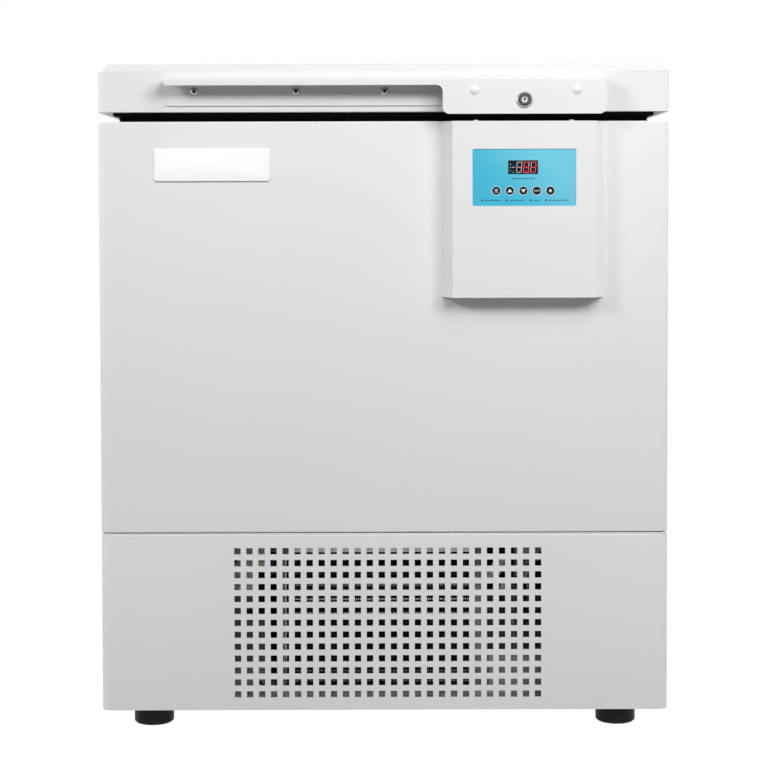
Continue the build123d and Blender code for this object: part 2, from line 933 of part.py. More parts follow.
def rear_vent_panel():
    """Lower rear cover with vent slots and cut-outs for the inlet and the switch."""
    centre_z = foot_height + machine_height / 2
    grid = GridLocations(vent_column_pitch, vent_row_pitch, vent_columns, vent_rows)
    slots = Sketch() + [place * Rectangle(vent_width, vent_slot) for place in grid]
    punch = facing(Pos(vent_shift, centre_z) * slots, rear + overrun, sheet + 2 * overrun)
    inlet = Pos(inlet_x, inlet_z()) * Rectangle(inlet_width, inlet_height)
    switch = Pos(inlet_x, switch_z()) * Rectangle(switch_width(), switch_length())
    punch += facing(inlet + switch, rear + overrun, sheet + 2 * overrun)
    return lower_skin(rear - cover_return, rear) - punch


def lower_side_panels():
    """Flat sides of the machine compartment between the two covers."""
    return lower_skin(front + cover_return + panel_gap, rear - cover_return - panel_gap)


def condenser_sides():
    """X of the condenser's left and right end."""
    return condenser_x - condenser_width / 2, condenser_x + condenser_width / 2


def condenser_fins():
    """Thin upright plates of the condenser."""
    left, right = condenser_sides()
    count = int((right - left) / fin_pitch)
    start = condenser_x - fin_pitch * (count - 1) / 2
    y = (condenser_front, condenser_front + condenser_depth)
    z = (condenser_bottom, condenser_bottom + condenser_height)
    places = [start + n * fin_pitch for n in range(count)]
    return [block((x - fin_gauge / 2, x + fin_gauge / 2), y, z) for x in places]


def tube_levels():
    """Levels of the straight runs of the condenser tube."""
    return [condenser_bottom + tube_first_rise + n * tube_pitch for n in range(tube_rows)]


def tube_y():
    """Plane of the condenser tube."""
    return condenser_front + condenser_depth / 2


def condenser_tube():
    """One serpentine tube through all fins and both side plates."""
    left, right = condenser_sides()
    out = side_plate_gauge + tube_return
    points = []
    for n, z in enumerate(tube_levels()):
        ends = [left - out, right + out]
        if n % 2 == 0:
            ends.reverse()
        points += [(ends[0], tube_y(), z), (ends[1], tube_y(), z)]
    return piped(points, tube_radius)


def condenser_side_plates():
    """Galvanised end plates with a flange in front and feet on the base pan."""
    plates = []
    y = (condenser_front, condenser_front + condenser_depth)
    face = (condenser_front, condenser_front + side_plate_gauge)
    z = (pan_floor, condenser_bottom + condenser_height)
    for x, side in zip(condenser_sides(), (-1, 1)):
        outer = x + side * side_plate_gauge
        foot = x - side * side_plate_foot
        plate = block(sorted((x, outer)), y, z) + block(sorted((x, x + side * side_plate_flange)), face, z)
        plates.append(plate + block(sorted((foot, outer)), y, (pan_floor, pan_floor + side_plate_gauge)))
    return plates


def shroud_top():
    """Level of the shroud's top sheet."""
    return condenser_bottom + condenser_height + shroud_rise


def fan_shroud():
    """Shallow tray behind the fins that narrows the air to the fan, with an upturned front lip."""
    left, right = condenser_sides()
    y0 = condenser_front + condenser_depth
    y1 = y0 + shroud_depth
    top = shroud_top()
    shroud = block((left, right), (y0, y1), (pan_floor, top))
    inside = (left + shroud_gauge, right - shroud_gauge)
    shroud -= block(inside, (y0 - overrun, y1 - shroud_gauge), (pan_floor + shroud_gauge, top - shroud_gauge))
    lip = block((left, right), (condenser_front, y1), (top, top + shroud_gauge))
    edge = (condenser_front, condenser_front + shroud_gauge)
    lip += block((left, right), edge, (top, top + shroud_upstand))
    mouth = rod(condenser_x, fan_z, fan_radius + fan_tip_gap, y1 - shroud_depth / 2, y1 + overrun)
    return shroud + lip - mouth


def fan_plane():
    """Y of the middle of the fan."""
    return condenser_front + condenser_depth + shroud_depth


def fan_rotor():
    """Hub, shaft and pitched blades."""
    y = fan_plane()
    rotor = rod(condenser_x, fan_z, hub_radius, y - hub_length / 2, y + hub_length / 2)
    shaft_end = y + hub_length / 2 + motor_gap + motor_length / 2
    rotor += rod(condenser_x, fan_z, shaft_radius, y, shaft_end)
    length = fan_radius + overrun - hub_radius / 2
    blade = Box(blade_chord, blade_gauge, length)
    for n in range(fan_blades):
        pitched = Rot(0, 0, blade_pitch_angle) * blade
        raised = Pos(0, 0, hub_radius / 2 + length / 2) * pitched
        rotor += Pos(condenser_x, y, fan_z) * (Rot(0, 360 * n / fan_blades, 0) * raised)
    return rotor & rod(condenser_x, fan_z, fan_radius, y - fan_radius, shaft_end)


def motor_front():
    """Front face of the fan motor."""
    return fan_plane() + hub_length / 2 + motor_gap


def fan_motor():
    """Shaded pole motor can with a bore for the shaft."""
    y0 = motor_front()
    can = rod(condenser_x, fan_z, motor_radius, y0, y0 + motor_length)
    bore_end = y0 + motor_length / 2 + running_gap * 2
    return can - rod(condenser_x, fan_z, shaft_radius + running_gap, y0 - overrun, bore_end)


def fan_strap():
    """Upright strap behind the motor, tied to the base pan and to the shroud's top."""
    back = motor_front() + motor_length
    half = motor_strap_width / 2
    x = (condenser_x - half, condenser_x + half)
    top = shroud_top() + shroud_gauge
    strap = block(x, (back, back + motor_strap_gauge), (pan_floor, top + motor_strap_gauge))
    strap += block(x, (fan_plane() - shroud_flange, back), (top, top + motor_strap_gauge))
    toe_end = back + motor_strap_gauge + motor_strap_width
    return strap + block(x, (back, toe_end), (pan_floor, pan_floor + motor_strap_gauge))


def compressor_places():
    """X and Y of the two compressors."""
    y = rear - compressor_rear_gap
    x = half_width - compressor_side_inset
    return [(-x, y), (x, y)]


def compressor_base():
    """Level of the compressors' foot plates."""
    return pan_floor + grommet_height


def compressors():
    """Two welded compressor shells on their foot plates, with terminal boxes."""
    body_top = compressor_height - compressor_dome
    profile = [
        (0, compressor_foot_gauge),
        (compressor_radius * compressor_top_share, compressor_foot_gauge),
        (compressor_radius * compressor_side_share, compressor_dome / 2),
        (compressor_radius, compressor_dome),
        (compressor_radius * compressor_side_share, body_top),
        (compressor_radius * compressor_top_share, compressor_height),
        (0, compressor_height),
    ]
    units = []
    for x, y in compressor_places():
        can = turned(profile, x, y, compressor_base())
        half_w, half_d = compressor_foot_width / 2, compressor_foot_depth / 2
        plate_z = (compressor_base(), compressor_base() + compressor_foot_gauge)
        plate = block((x - half_w, x + half_w), (y - half_d, y + half_d), plate_z)
        far = y - compressor_radius - terminal_depth / 2
        half_t = terminal_width / 2
        mid = compressor_base() + compressor_height / 2
        high = (mid - terminal_height / 2, mid + terminal_height / 2)
        terminal = block((x - half_t, x + half_t), (far, far + terminal_depth), high)
        units.append(can + plate + terminal)
    return units


def compressor_grommets():
    """Rubber mounts under the corners of the foot plates."""
    x_off = compressor_foot_width / 2 - grommet_inset
    y_off = compressor_foot_depth / 2 - grommet_inset
    mounts = []
    for x, y in compressor_places():
        for dx in (-x_off, x_off):
            for dy in (-y_off, y_off):
                mount = extrude(Circle(grommet_radius), grommet_height)
                mounts.append(Pos(x + dx, y + dy, pan_floor) * mount)
    return mounts


def heat_exchanger():
    """Plate heat exchanger between the two stages, standing on the pan."""
    face = RectangleRounded(exchanger_width, exchanger_depth, exchanger_radius)
    return Pos(0, rear - exchanger_setback, pan_floor) * extrude(face, exchanger_height)


def expansion_tank():
    """Low stage expansion tank standing on the pan."""
    profile = [
        (0, 0),
        (tank_radius, 0),
        (tank_radius, tank_height - tank_cone),
        (tank_radius - tank_cone, tank_height),
        (0, tank_height),
    ]
    return turned(profile, half_width - tank_side_inset, front + tank_setback, pan_floor)


def tube_ends():
    """X of the outer sides of the condenser tube's return bends, left and right."""
    left, right = condenser_sides()
    out = side_plate_gauge + tube_return + tube_radius
    return left - out, right + out


def box_sides():
    """X of the electrical box's left and right side, the right one clear of the condenser."""
    return box_left_inset - half_width, tube_ends()[0] - box_condenser_gap


def electrical_box():
    """Sheet metal box for relays and capacitors at the left."""
    x0, x1 = box_sides()
    y0 = front + box_setback
    outer = block((x0, x1), (y0, y0 + box_depth), (pan_floor, pan_floor + box_height))
    x = (x0 + box_gauge, x1 - box_gauge)
    y = (y0 + box_gauge, y0 + box_depth + overrun)
    return outer - block(x, y, (pan_floor + box_gauge, pan_floor + box_height - box_gauge))


def dryer_x():
    """Middle of the filter dryer, to the right of the condenser."""
    return condenser_sides()[1] + dryer_gap


def filter_dryer():
    """Copper dryer with conical ends, upright at the condenser's right."""
    profile = [
        (0, 0),
        (pipe_radius, 0),
        (dryer_radius, dryer_cone),
        (dryer_radius, dryer_length - dryer_cone),
        (pipe_radius, dryer_length),
        (0, dryer_length),
    ]
    return turned(profile, dryer_x(), tube_y(), foot_height + dryer_rise)


def liquid_lines():
    """Pipe from the condenser's last run to the dryer, and the thin one from there to the deck."""
    right = condenser_sides()[1] + side_plate_gauge + tube_return
    low = tube_levels()[0]
    bottom = foot_height + dryer_rise
    points = [(right, tube_y(), low), (dryer_x(), tube_y(), low), (dryer_x(), tube_y(), bottom)]
    inlet = piped(points, pipe_radius)
    top = bottom + dryer_length
    outlet = Pos(dryer_x(), tube_y(), top) * extrude(Circle(capillary_radius), chest_bottom + sheet - top)
    return [inlet, outlet]


def pipe_guard():
    """Bent sheet round the filter dryer: low front, high back and one sloped end."""
    x0 = condenser_sides()[1] + side_plate_flange + guard_gap
    x1 = x0 + guard_width
    y0, y1 = condenser_front, condenser_front + guard_depth
    low, high = pan_floor + guard_front_height, pan_floor + guard_rear_height
    guard = block((x0, x1), (y0, y0 + guard_gauge), (pan_floor, low))
    guard += block((x0, x1), (y1 - guard_gauge, y1), (pan_floor, high))
    end = make_face(Polyline((y0, pan_floor), (y1, pan_floor), (y1, high), (y0, low), close=True))
    return guard + across(end, x1 - guard_gauge, x1)


def discharge_line():
    """Pipe from the left compressor, round the electrical box and forward to the condenser's first run."""
    left = condenser_sides()[0] - side_plate_gauge - tube_return
    high = tube_levels()[-1]
    x, y = compressor_places()[0]
    start = compressor_base() + compressor_height
    level = start + discharge_riser
    turn_y = front + box_setback + box_depth + discharge_turn_gap
    lane = tube_ends()[0] - box_condenser_gap / 2
    points = [(x, y, start), (x, y, level), (x, turn_y, level), (lane, turn_y, level)]
    points += [(lane, tube_y(), level), (lane, tube_y(), high), (left, tube_y(), high)]
    return piped(points, pipe_radius)


def suction_line():
    """Pipe from the evaporator's stub to the right compressor."""
    stub_y = rear - liner_inset + liner_sheet + coil_thickness / 2
    level = stub_end() - pipe_drop
    x, y = compressor_places()[1]
    start = compressor_base() + compressor_height
    points = [(-coil_gap, stub_y, stub_end()), (-coil_gap, stub_y, level), (-coil_gap, y, level)]
    return piped(points + [(x, y, level), (x, y, start)], pipe_radius)


# Rear inlet and switch


def inlet_z():
    """Level of the power inlet."""
    return foot_height + inlet_rise


def switch_width():
    """Width of the switch's cut-out."""
    return rocker_width + 2 * rocker_frame


def switch_length():
    """Height of the switch's cut-out."""
    return rocker_height + 2 * rocker_frame


def switch_z():
    """Level of the rocker switch above the inlet."""
    return inlet_z() + inlet_height / 2 + switch_gap + switch_length() / 2


def collared(width, height, x, z, depth):
    """Body through the rear cover with a collar that rests on its outer face."""
    body = facing(Pos(x, z) * Rectangle(width, height), rear, depth)
    wide, high = width + 2 * inlet_flange, height + 2 * inlet_flange
    return body + facing(Pos(x, z) * Rectangle(wide, high), rear + inlet_flange_gauge, inlet_flange_gauge)


def power_inlet():
    """Appliance inlet with three flat pins in its well."""
    body = collared(inlet_width, inlet_height, inlet_x, inlet_z(), inlet_depth)
    well = Rectangle(inlet_width - 2 * inlet_wall, inlet_height - 2 * inlet_wall)
    outer = rear + inlet_flange_gauge
    depth = inlet_depth + inlet_flange_gauge - inlet_wall
    body -= facing(Pos(inlet_x, inlet_z()) * well, outer + overrun, depth + overrun)
    for n in (-1, 0, 1):
        pin = Pos(inlet_x + n * pin_pitch, inlet_z()) * Rectangle(pin_gauge, pin_width)
        body += facing(pin, rear, inlet_depth - inlet_wall)
    return body


def switch_frame():
    """Frame of the rocker switch."""
    body = collared(switch_width(), switch_length(), inlet_x, switch_z(), rocker_frame_depth)
    room = Rectangle(rocker_width + 2 * key_gap, rocker_height + 2 * key_gap)
    outer = rear + inlet_flange_gauge
    depth = rocker_frame_depth + inlet_flange_gauge - rocker_frame
    return body - facing(Pos(inlet_x, switch_z()) * room, outer + overrun, depth + overrun)


def rocker_axis_y():
    """Depth of the rocker's pivot."""
    return rear - rocker_depth / 2


def power_rocker():
    """Rocker with two faces that meet at its pivot, tipped to its off side at rest."""
    half = rocker_height / 2 - rocker_ease
    slope = math.tan(math.radians(rocker_angle)) * half
    y = rocker_axis_y()
    face_y = y + rocker_depth
    points = [
        (y - rocker_depth / 2, -half + slope),
        (y - rocker_depth / 2, half - slope),
        (face_y + slope, half),
        (face_y - slope / 2, 0),
        (face_y + slope, -half),
    ]
    section = Pos(0, switch_z()) * make_face(Polyline(*points, close=True))
    tipped = across(section, inlet_x - rocker_width / 2, inlet_x + rocker_width / 2)
    pivot = Axis((inlet_x, y, switch_z()), (1, 0, 0))
    return tipped.rotate(pivot, -rocker_angle)


# Rear hinges


def hinge_places():
    """X of the two hinges."""
    x = half_width - hinge_side_inset
    return [-x, x]


def hinge_bore(x):
    """Hole for the pin through all knuckles."""
    half = hinge_width / 2 + overrun
    return bar(x - half, x + half, hinge_y, hinge_z, hinge_pin_radius + pin_running_gap)


def knuckle(x0, x1, end):
    """Knuckle with a web to the leaf, whose plate ends at the level end."""
    web = block((x0, x1), (rear, rear + hinge_leaf), sorted((hinge_z, end)))
    return web + bar(x0, x1, hinge_y, hinge_z, hinge_knuckle_radius)


def cabinet_leaves():
    """Lower hinge leaves on the cabinet's back, with two knuckles each."""
    leaves = []
    top = hinge_z - hinge_leaf_lift
    for x in hinge_places():
        x0, x1 = x - hinge_width / 2, x + hinge_width / 2
        leaf = block((x0, x1), (rear, rear + hinge_leaf), (top - hinge_cabinet_leaf_height, top))
        leaf += knuckle(x0, x0 + hinge_ear, top) + knuckle(x1 - hinge_ear, x1, top)
        leaves.append(leaf - hinge_bore(x))
    return leaves


def lid_leaves():
    """Upper hinge leaves on the lid's back, with one middle knuckle each."""
    leaves = []
    bottom = hinge_z + hinge_leaf_lift
    for x in hinge_places():
        x0, x1 = x - hinge_width / 2, x + hinge_width / 2
        leaf = block((x0, x1), (rear, rear + hinge_leaf), (bottom, bottom + hinge_lid_leaf_height))
        leaf += knuckle(x0 + hinge_ear + hinge_gap, x1 - hinge_ear - hinge_gap, bottom)
        leaves.append(leaf - hinge_bore(x))
    return leaves


def hinge_pins():
    """Pins through the knuckles."""
    half = hinge_width / 2
    return [bar(x - half, x + half, hinge_y, hinge_z, hinge_pin_radius) for x in hinge_places()]


def main():
    """Build every node and write it to the parts folder."""
    os.makedirs("parts", exist_ok=True)
    save("upper_wrapper", upper_wrapper())
    save("rear_panel", rear_panel())
    save("chest_deck", chest_deck())
    save("inner_liner", inner_liner())
    save("breaker_frame", breaker_frame())
    save("evaporator_coil", evaporator_coil())
    save("cabinet_foam", cabinet_foam())
    save("temperature_probe", temperature_probe())
    save("lid_shell", lid_shell())
    save("lid_inner_pan", lid_inner_pan())
    save("lid_foam", lid_foam())
    save("lid_gasket", lid_gasket())
    save("handle_bracket", *handle_bracket())
    save("handle_screws", *handle_screws())
    save("screw_caps", *screw_caps())
    save("lock_barrel", lock_barrel())
    save("lock_nut", lock_nut())
    save("lock_plug", lock_plug())
    save("lock_cam", lock_cam())
    save("control_housing", control_housing())
    save("housing_brackets", *housing_brackets())
    save("display_overlay", display_overlay())
    save("display_carrier", display_carrier())
    save("control_board", control_board())
    save("led_display", led_display())
    save("key_switches", *key_switches())
    for number, (x, z) in enumerate(key_places(), start=1):
        save(f"key_{number}", key(x, z))
    save("base_pan", base_pan())
    save("rubber_feet", *rubber_feet())
    save("corner_posts", corner_posts())
    save("lower_front_cover", lower_front_cover())
    save("rear_vent_panel", rear_vent_panel())
    save("lower_side_panels", lower_side_panels())
    save("condenser_fins", *condenser_fins())
    save("condenser_tube", condenser_tube())
    save("condenser_side_plates", *condenser_side_plates())
    save("fan_shroud", fan_shroud())
    save("fan_rotor", fan_rotor())
    save("fan_motor", fan_motor())
    save("fan_strap", fan_strap())
    save("compressors", *compressors())
    save("compressor_grommets", *compressor_grommets())
    save("heat_exchanger", heat_exchanger())
    save("expansion_tank", expansion_tank())
    save("electrical_box", electrical_box())
    save("filter_dryer", filter_dryer())
    save("pipe_guard", pipe_guard())
    save("liquid_lines", *liquid_lines())
    save("discharge_line", discharge_line())
    save("suction_line", suction_line())
    save("power_inlet", power_inlet())
    save("switch_frame", switch_frame())
    save("power_rocker", power_rocker())
    save("cabinet_hinge_leaves", *cabinet_leaves())
    save("lid_hinge_leaves", *lid_leaves())
    save("hinge_pins", *hinge_pins())


if __name__ == "__main__":
    main()
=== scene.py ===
"""Dresses the ultra low temperature freezer: finishes, small trim, camera and light."""

from __future__ import annotations

import json
import logging
import math
from dataclasses import dataclass
from enum import Enum

import bmesh
import bpy
import numpy as np
from mathutils import Matrix, Vector

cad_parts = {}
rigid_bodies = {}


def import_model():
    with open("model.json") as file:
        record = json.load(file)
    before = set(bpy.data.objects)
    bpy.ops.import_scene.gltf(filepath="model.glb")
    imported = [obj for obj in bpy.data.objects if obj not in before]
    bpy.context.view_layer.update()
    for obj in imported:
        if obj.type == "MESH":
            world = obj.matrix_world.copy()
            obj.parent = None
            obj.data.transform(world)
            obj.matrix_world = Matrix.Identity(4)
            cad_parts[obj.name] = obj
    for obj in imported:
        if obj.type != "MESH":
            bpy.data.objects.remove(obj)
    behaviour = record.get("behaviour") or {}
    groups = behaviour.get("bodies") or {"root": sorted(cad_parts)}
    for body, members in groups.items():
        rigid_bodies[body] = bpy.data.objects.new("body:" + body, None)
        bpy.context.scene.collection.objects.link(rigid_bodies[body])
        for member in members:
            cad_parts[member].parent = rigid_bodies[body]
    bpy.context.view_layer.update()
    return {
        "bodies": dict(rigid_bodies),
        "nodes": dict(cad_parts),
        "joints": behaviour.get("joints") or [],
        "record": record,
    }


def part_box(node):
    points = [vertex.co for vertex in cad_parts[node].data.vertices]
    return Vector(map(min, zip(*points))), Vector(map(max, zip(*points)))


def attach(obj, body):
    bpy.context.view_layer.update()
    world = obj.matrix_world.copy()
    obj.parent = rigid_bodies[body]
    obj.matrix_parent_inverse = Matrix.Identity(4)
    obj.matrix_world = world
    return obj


LOG = logging.getLogger("freezer")
MM = 0.001
SHEET_GAUGE = 1.2 * MM
SHARP_ANGLE = 28
FULL_TURN = 2 * math.pi
Colour = tuple[float, float, float]
Span = tuple[float, float]


class Body(Enum):
    """Rigid bodies that new pieces ride on."""

    CABINET = "cabinet"
    LID = "lid"
    LOCK = "lock_cylinder"


# Mesh building


def rounded_outline(width: float, height: float, radius: float, steps: int = 6) -> np.ndarray:
    """Outline of a rectangle with round corners, about the origin.

    Each corner is a quarter circle: corner centre plus radius times (cos a, sin a), with a
    running through its own quarter.

    Args:
        width: Size along the first axis.
        height: Size along the second axis.
        radius: Corner radius.
        steps: Segments in each corner.

    Returns:
        Array of points with two columns, anticlockwise.
    """
    quarter = np.linspace(0, math.pi / 2, steps + 1)
    angles = (quarter[None, :] + np.arange(4)[:, None] * math.pi / 2).ravel()
    signs = np.array([(1, 1), (-1, 1), (-1, -1), (1, -1)], float)
    centres = signs * (width / 2 - radius, height / 2 - radius)
    arcs = radius * np.column_stack([np.cos(angles), np.sin(angles)])
    return np.repeat(centres, steps + 1, axis=0) + arcs


def circle_outline(radius: float, steps: int = 32) -> np.ndarray:
    """Circle about the origin: radius times (cos a, sin a)."""
    angles = np.arange(steps) * FULL_TURN / steps
    return radius * np.column_stack([np.cos(angles), np.sin(angles)])


def raised(outline: np.ndarray, centre: Span, levels: list[Span], back: float) -> np.ndarray:
    """Rings of a boss that stands on a plane of constant Y and rises towards the viewer.

    Ring k is the outline scaled about the centre by levels[k][0] and set at Y = back minus
    levels[k][1].

    Args:
        outline: Points in X and Z about the origin.
        centre: X and Z of the boss.
        levels: Scale and height of each ring.
        back: Y of the plane it stands on.

    Returns:
        Array of rings by points by three.
    """
    scale = np.array([level[0] for level in levels])[:, None, None]
    height = np.array([level[1] for level in levels])
    flat = outline[None, :, :] * scale
    rings = np.empty((len(levels), len(outline), 3))
    rings[:, :, 0] = flat[:, :, 0] + centre[0]
    rings[:, :, 2] = flat[:, :, 1] + centre[1]
    rings[:, :, 1] = (back - height)[:, None]
    return rings


def dome(height: float, edge: float = 0.0, steps: int = 6) -> list[Span]:
    """Levels of a domed boss: scale cos t at height edge plus (height - edge) sin t."""
    turns = np.linspace(0, math.pi / 2 * 0.94, steps)
    crown = [(math.cos(t), edge + (height - edge) * math.sin(t)) for t in turns]
    return [(1.0, 0.0)] + crown


def tube_rings(path: np.ndarray, radius: float, steps: int = 12) -> np.ndarray:
    """Rings of a round tube: path point plus radius times (u cos a + v sin a).

    The axes u and v are perpendicular to the path's direction, found from one fixed side
    vector, so the path must never run along it.

    Args:
        path: Points along the middle.
        radius: Tube radius.
        steps: Points in each ring.

    Returns:
        Array of rings by points by three.
    """
    ahead = np.gradient(path, axis=0)
    ahead /= np.linalg.norm(ahead, axis=1, keepdims=True)
    side = np.cross(ahead, np.array([0.31, 0.2, 0.93]))
    side /= np.linalg.norm(side, axis=1, keepdims=True)
    up = np.cross(side, ahead)
    turn = np.arange(steps) * FULL_TURN / steps
    around = np.cos(turn)[None, :, None] * side[:, None, :] + np.sin(turn)[None, :, None] * up[:, None, :]
    return path[:, None, :] + radius * around


class Shell:
    """Collects closed skins and builds one mesh object from them."""

    def __init__(self) -> None:
        """Starts with no points."""
        self.points: list[np.ndarray] = []
        self.faces: list[list[int]] = []
        self.count = 0

    def skin(self, rings: np.ndarray) -> "Shell":
        """Adds quads between rings and closes both ends with flat caps."""
        levels, around = rings.shape[:2]
        index = self.count + np.arange(levels * around).reshape(levels, around)
        after = np.roll(index, -1, axis=1)
        quads = np.stack([index[:-1], after[:-1], after[1:], index[1:]], axis=-1)
        self.faces += quads.reshape(-1, 4).tolist()
        self.faces += [index[0][::-1].tolist(), index[-1].tolist()]
        self.points.append(rings.reshape(-1, 3))
        self.count += levels * around
        return self

    def loop(self, rings: np.ndarray) -> "Shell":
        """Adds quads between rings and from the last ring back to the first, as on a torus."""
        levels, around = rings.shape[:2]
        index = self.count + np.arange(levels * around).reshape(levels, around)
        below = np.roll(index, -1, axis=0)
        quads = np.stack([index, np.roll(index, -1, axis=1), np.roll(below, -1, axis=1), below], axis=-1)
        self.faces += quads.reshape(-1, 4).tolist()
        self.points.append(rings.reshape(-1, 3))
        self.count += levels * around
        return self

    def build(self, name: str, material: bpy.types.Material, body: str, slot: str,
              sharp: float = 35.0) -> bpy.types.Object:
        """Makes the object, turns its faces outwards and lets it ride on a body.

        Args:
            name: Piece name.
            material: Its finish.
            body: CAD body that carries it.
            slot: Material slot of the record that it follows; not used here.
            sharp: Angle in degrees above which an edge stays sharp.

        Returns:
            The new object.
        """
        mesh = bpy.data.meshes.new(name)
        mesh.from_pydata(np.vstack(self.points).tolist(), [], self.faces)
        work = bmesh.new()
        work.from_mesh(mesh)
        bmesh.ops.recalc_face_normals(work, faces=work.faces)
        work.to_mesh(mesh)
        work.free()
        mesh.shade_smooth()
        mesh.set_sharp_from_angle(angle=math.radians(sharp))
        mesh.materials.append(material)
        piece = bpy.data.objects.new(name, mesh)
        bpy.context.scene.collection.objects.link(piece)
        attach(piece, body)
        LOG.info("piece %s with %d faces", name, len(mesh.polygons))
        return piece


# Shader node groups shared by the finishes


class Sockets(Enum):
    """Socket types of node groups."""

    VALUE = "NodeSocketFloat"
    GEOMETRY = "NodeSocketGeometry"


def new_group(name: str, inputs: dict[str, float], outputs: list[str]) -> bpy.types.NodeTree:
    """Makes an empty shader group with named value inputs and outputs.

    Args:
        name: Group name.
        inputs: Input names with their default values.
        outputs: Output names.

    Returns:
        The group, with its input and output nodes inside.
    """
    group = bpy.data.node_groups.new(name, "ShaderNodeTree")
    for label, value in inputs.items():
        socket = group.interface.new_socket(label, in_out="INPUT", socket_type=Sockets.VALUE.value)
        socket.default_value = value
    for label in outputs:
        group.interface.new_socket(label, in_out="OUTPUT", socket_type=Sockets.VALUE.value)
    group.nodes.new("NodeGroupInput")
    group.nodes.new("NodeGroupOutput")
    return group


def ends(group: bpy.types.NodeTree) -> tuple[bpy.types.Node, bpy.types.Node]:
    """Input and output node of a group."""
    nodes = {node.bl_idname: node for node in group.nodes}
    return nodes["NodeGroupInput"], nodes["NodeGroupOutput"]


def noise(tree: bpy.types.NodeTree, vector: bpy.types.NodeSocket, scale: float,
          detail: float = 2.0) -> bpy.types.Node:
    """Noise texture that reads the given coordinates."""
    node = tree.nodes.new("ShaderNodeTexNoise")
    node.inputs["Scale"].default_value = scale
    node.inputs["Detail"].default_value = detail
    tree.links.new(vector, node.inputs["Vector"])
    return node


def math_node(tree: bpy.types.NodeTree, kind: str, first: object, second: object) -> bpy.types.NodeSocket:
    """Math node whose two inputs are sockets or numbers; returns its output."""
    node = tree.nodes.new("ShaderNodeMath")
    node.operation = kind
    for socket, value in zip(node.inputs, (first, second)):
        if isinstance(value, bpy.types.NodeSocket):
            tree.links.new(value, socket)
        else:
            socket.default_value = value
    return node.outputs[0]


def object_coordinates(tree: bpy.types.NodeTree) -> bpy.types.NodeSocket:
    """Object coordinates, in metres."""
    return tree.nodes.new("ShaderNodeTexCoord").outputs["Object"]


def peel_group() -> bpy.types.NodeTree:
    """Orange peel of sprayed powder: fine ripple height, broad mottle and a mask of settled dust."""
    group = new_group("sprayed_peel", {"Ripple": 420.0, "Mottle": 3.0}, ["Height", "Shade", "Dust"])
    start, end = ends(group)
    where = object_coordinates(group)
    ripple = noise(group, where, 420.0, 1.5)
    mottle = noise(group, where, 3.0, 3.0)
    group.links.new(start.outputs["Ripple"], ripple.inputs["Scale"])
    group.links.new(start.outputs["Mottle"], mottle.inputs["Scale"])
    group.links.new(ripple.outputs["Fac"], end.inputs["Height"])
    group.links.new(mottle.outputs["Fac"], end.inputs["Shade"])
    speck = noise(group, where, 900.0, 2.0)
    patch = noise(group, where, 7.0, 2.0)
    amount = math_node(group, "MULTIPLY", speck.outputs["Fac"], patch.outputs["Fac"])
    normal = group.nodes.new("ShaderNodeNewGeometry").outputs["Normal"]
    split = group.nodes.new("ShaderNodeSeparateXYZ")
    group.links.new(normal, split.inputs[0])
    level = math_node(group, "MAXIMUM", split.outputs["Z"], 0.0)
    group.links.new(math_node(group, "MULTIPLY", amount, level), end.inputs["Dust"])
    return group


def brush_group() -> bpy.types.NodeTree:
    """Brushed metal: noise stretched along one axis by the given scale on each axis."""
    group = new_group("brush_lines", {"Across X": 40.0, "Across Y": 40.0, "Across Z": 900.0},
                      ["Height", "Streak"])
    start, end = ends(group)
    scale = group.nodes.new("ShaderNodeCombineXYZ")
    for label, socket in zip(("Across X", "Across Y", "Across Z"), scale.inputs):
        group.links.new(start.outputs[label], socket)
    multiply = group.nodes.new("ShaderNodeVectorMath")
    multiply.operation = "MULTIPLY"
    group.links.new(object_coordinates(group), multiply.inputs[0])
    group.links.new(scale.outputs[0], multiply.inputs[1])
    lines = noise(group, multiply.outputs[0], 1.0, 2.0)
    cloud = noise(group, object_coordinates(group), 9.0, 2.0)
    group.links.new(lines.outputs["Fac"], end.inputs["Height"])
    blend = math_node(group, "MULTIPLY", lines.outputs["Fac"], cloud.outputs["Fac"])
    group.links.new(math_node(group, "MULTIPLY", blend, 2.0), end.inputs["Streak"])
    return group


def spangle_group() -> bpy.types.NodeTree:
    """Galvanised spangle: flat cells of slightly different brightness."""
    group = new_group("zinc_spangle", {"Cells": 120.0}, ["Height", "Cell"])
    start, end = ends(group)
    where = object_coordinates(group)
    cells = group.nodes.new("ShaderNodeTexVoronoi")
    group.links.new(where, cells.inputs["Vector"])
    group.links.new(start.outputs["Cells"], cells.inputs["Scale"])
    split = group.nodes.new("ShaderNodeSeparateColor")
    group.links.new(cells.outputs["Color"], split.inputs[0])
    group.links.new(split.outputs[0], end.inputs["Cell"])
    group.links.new(noise(group, where, 300.0, 2.0).outputs["Fac"], end.inputs["Height"])
    return group


def grain_group() -> bpy.types.NodeTree:
    """Moulded or bonded grain: small noise for height and a broad one for shade."""
    group = new_group("moulded_grain", {"Grain": 700.0, "Cloud": 14.0}, ["Height", "Shade"])
    start, end = ends(group)
    where = object_coordinates(group)
    grain = noise(group, where, 700.0, 3.0)
    cloud = noise(group, where, 14.0, 2.0)
    group.links.new(start.outputs["Grain"], grain.inputs["Scale"])
    group.links.new(start.outputs["Cloud"], cloud.inputs["Scale"])
    group.links.new(grain.outputs["Fac"], end.inputs["Height"])
    group.links.new(cloud.outputs["Fac"], end.inputs["Shade"])
    return group


class Effects:
    """Node groups built once and placed in every material that needs them."""

    def __init__(self) -> None:
        """Builds the groups."""
        self.peel = peel_group()
        self.brush = brush_group()
        self.spangle = spangle_group()
        self.grain = grain_group()


# Finishes


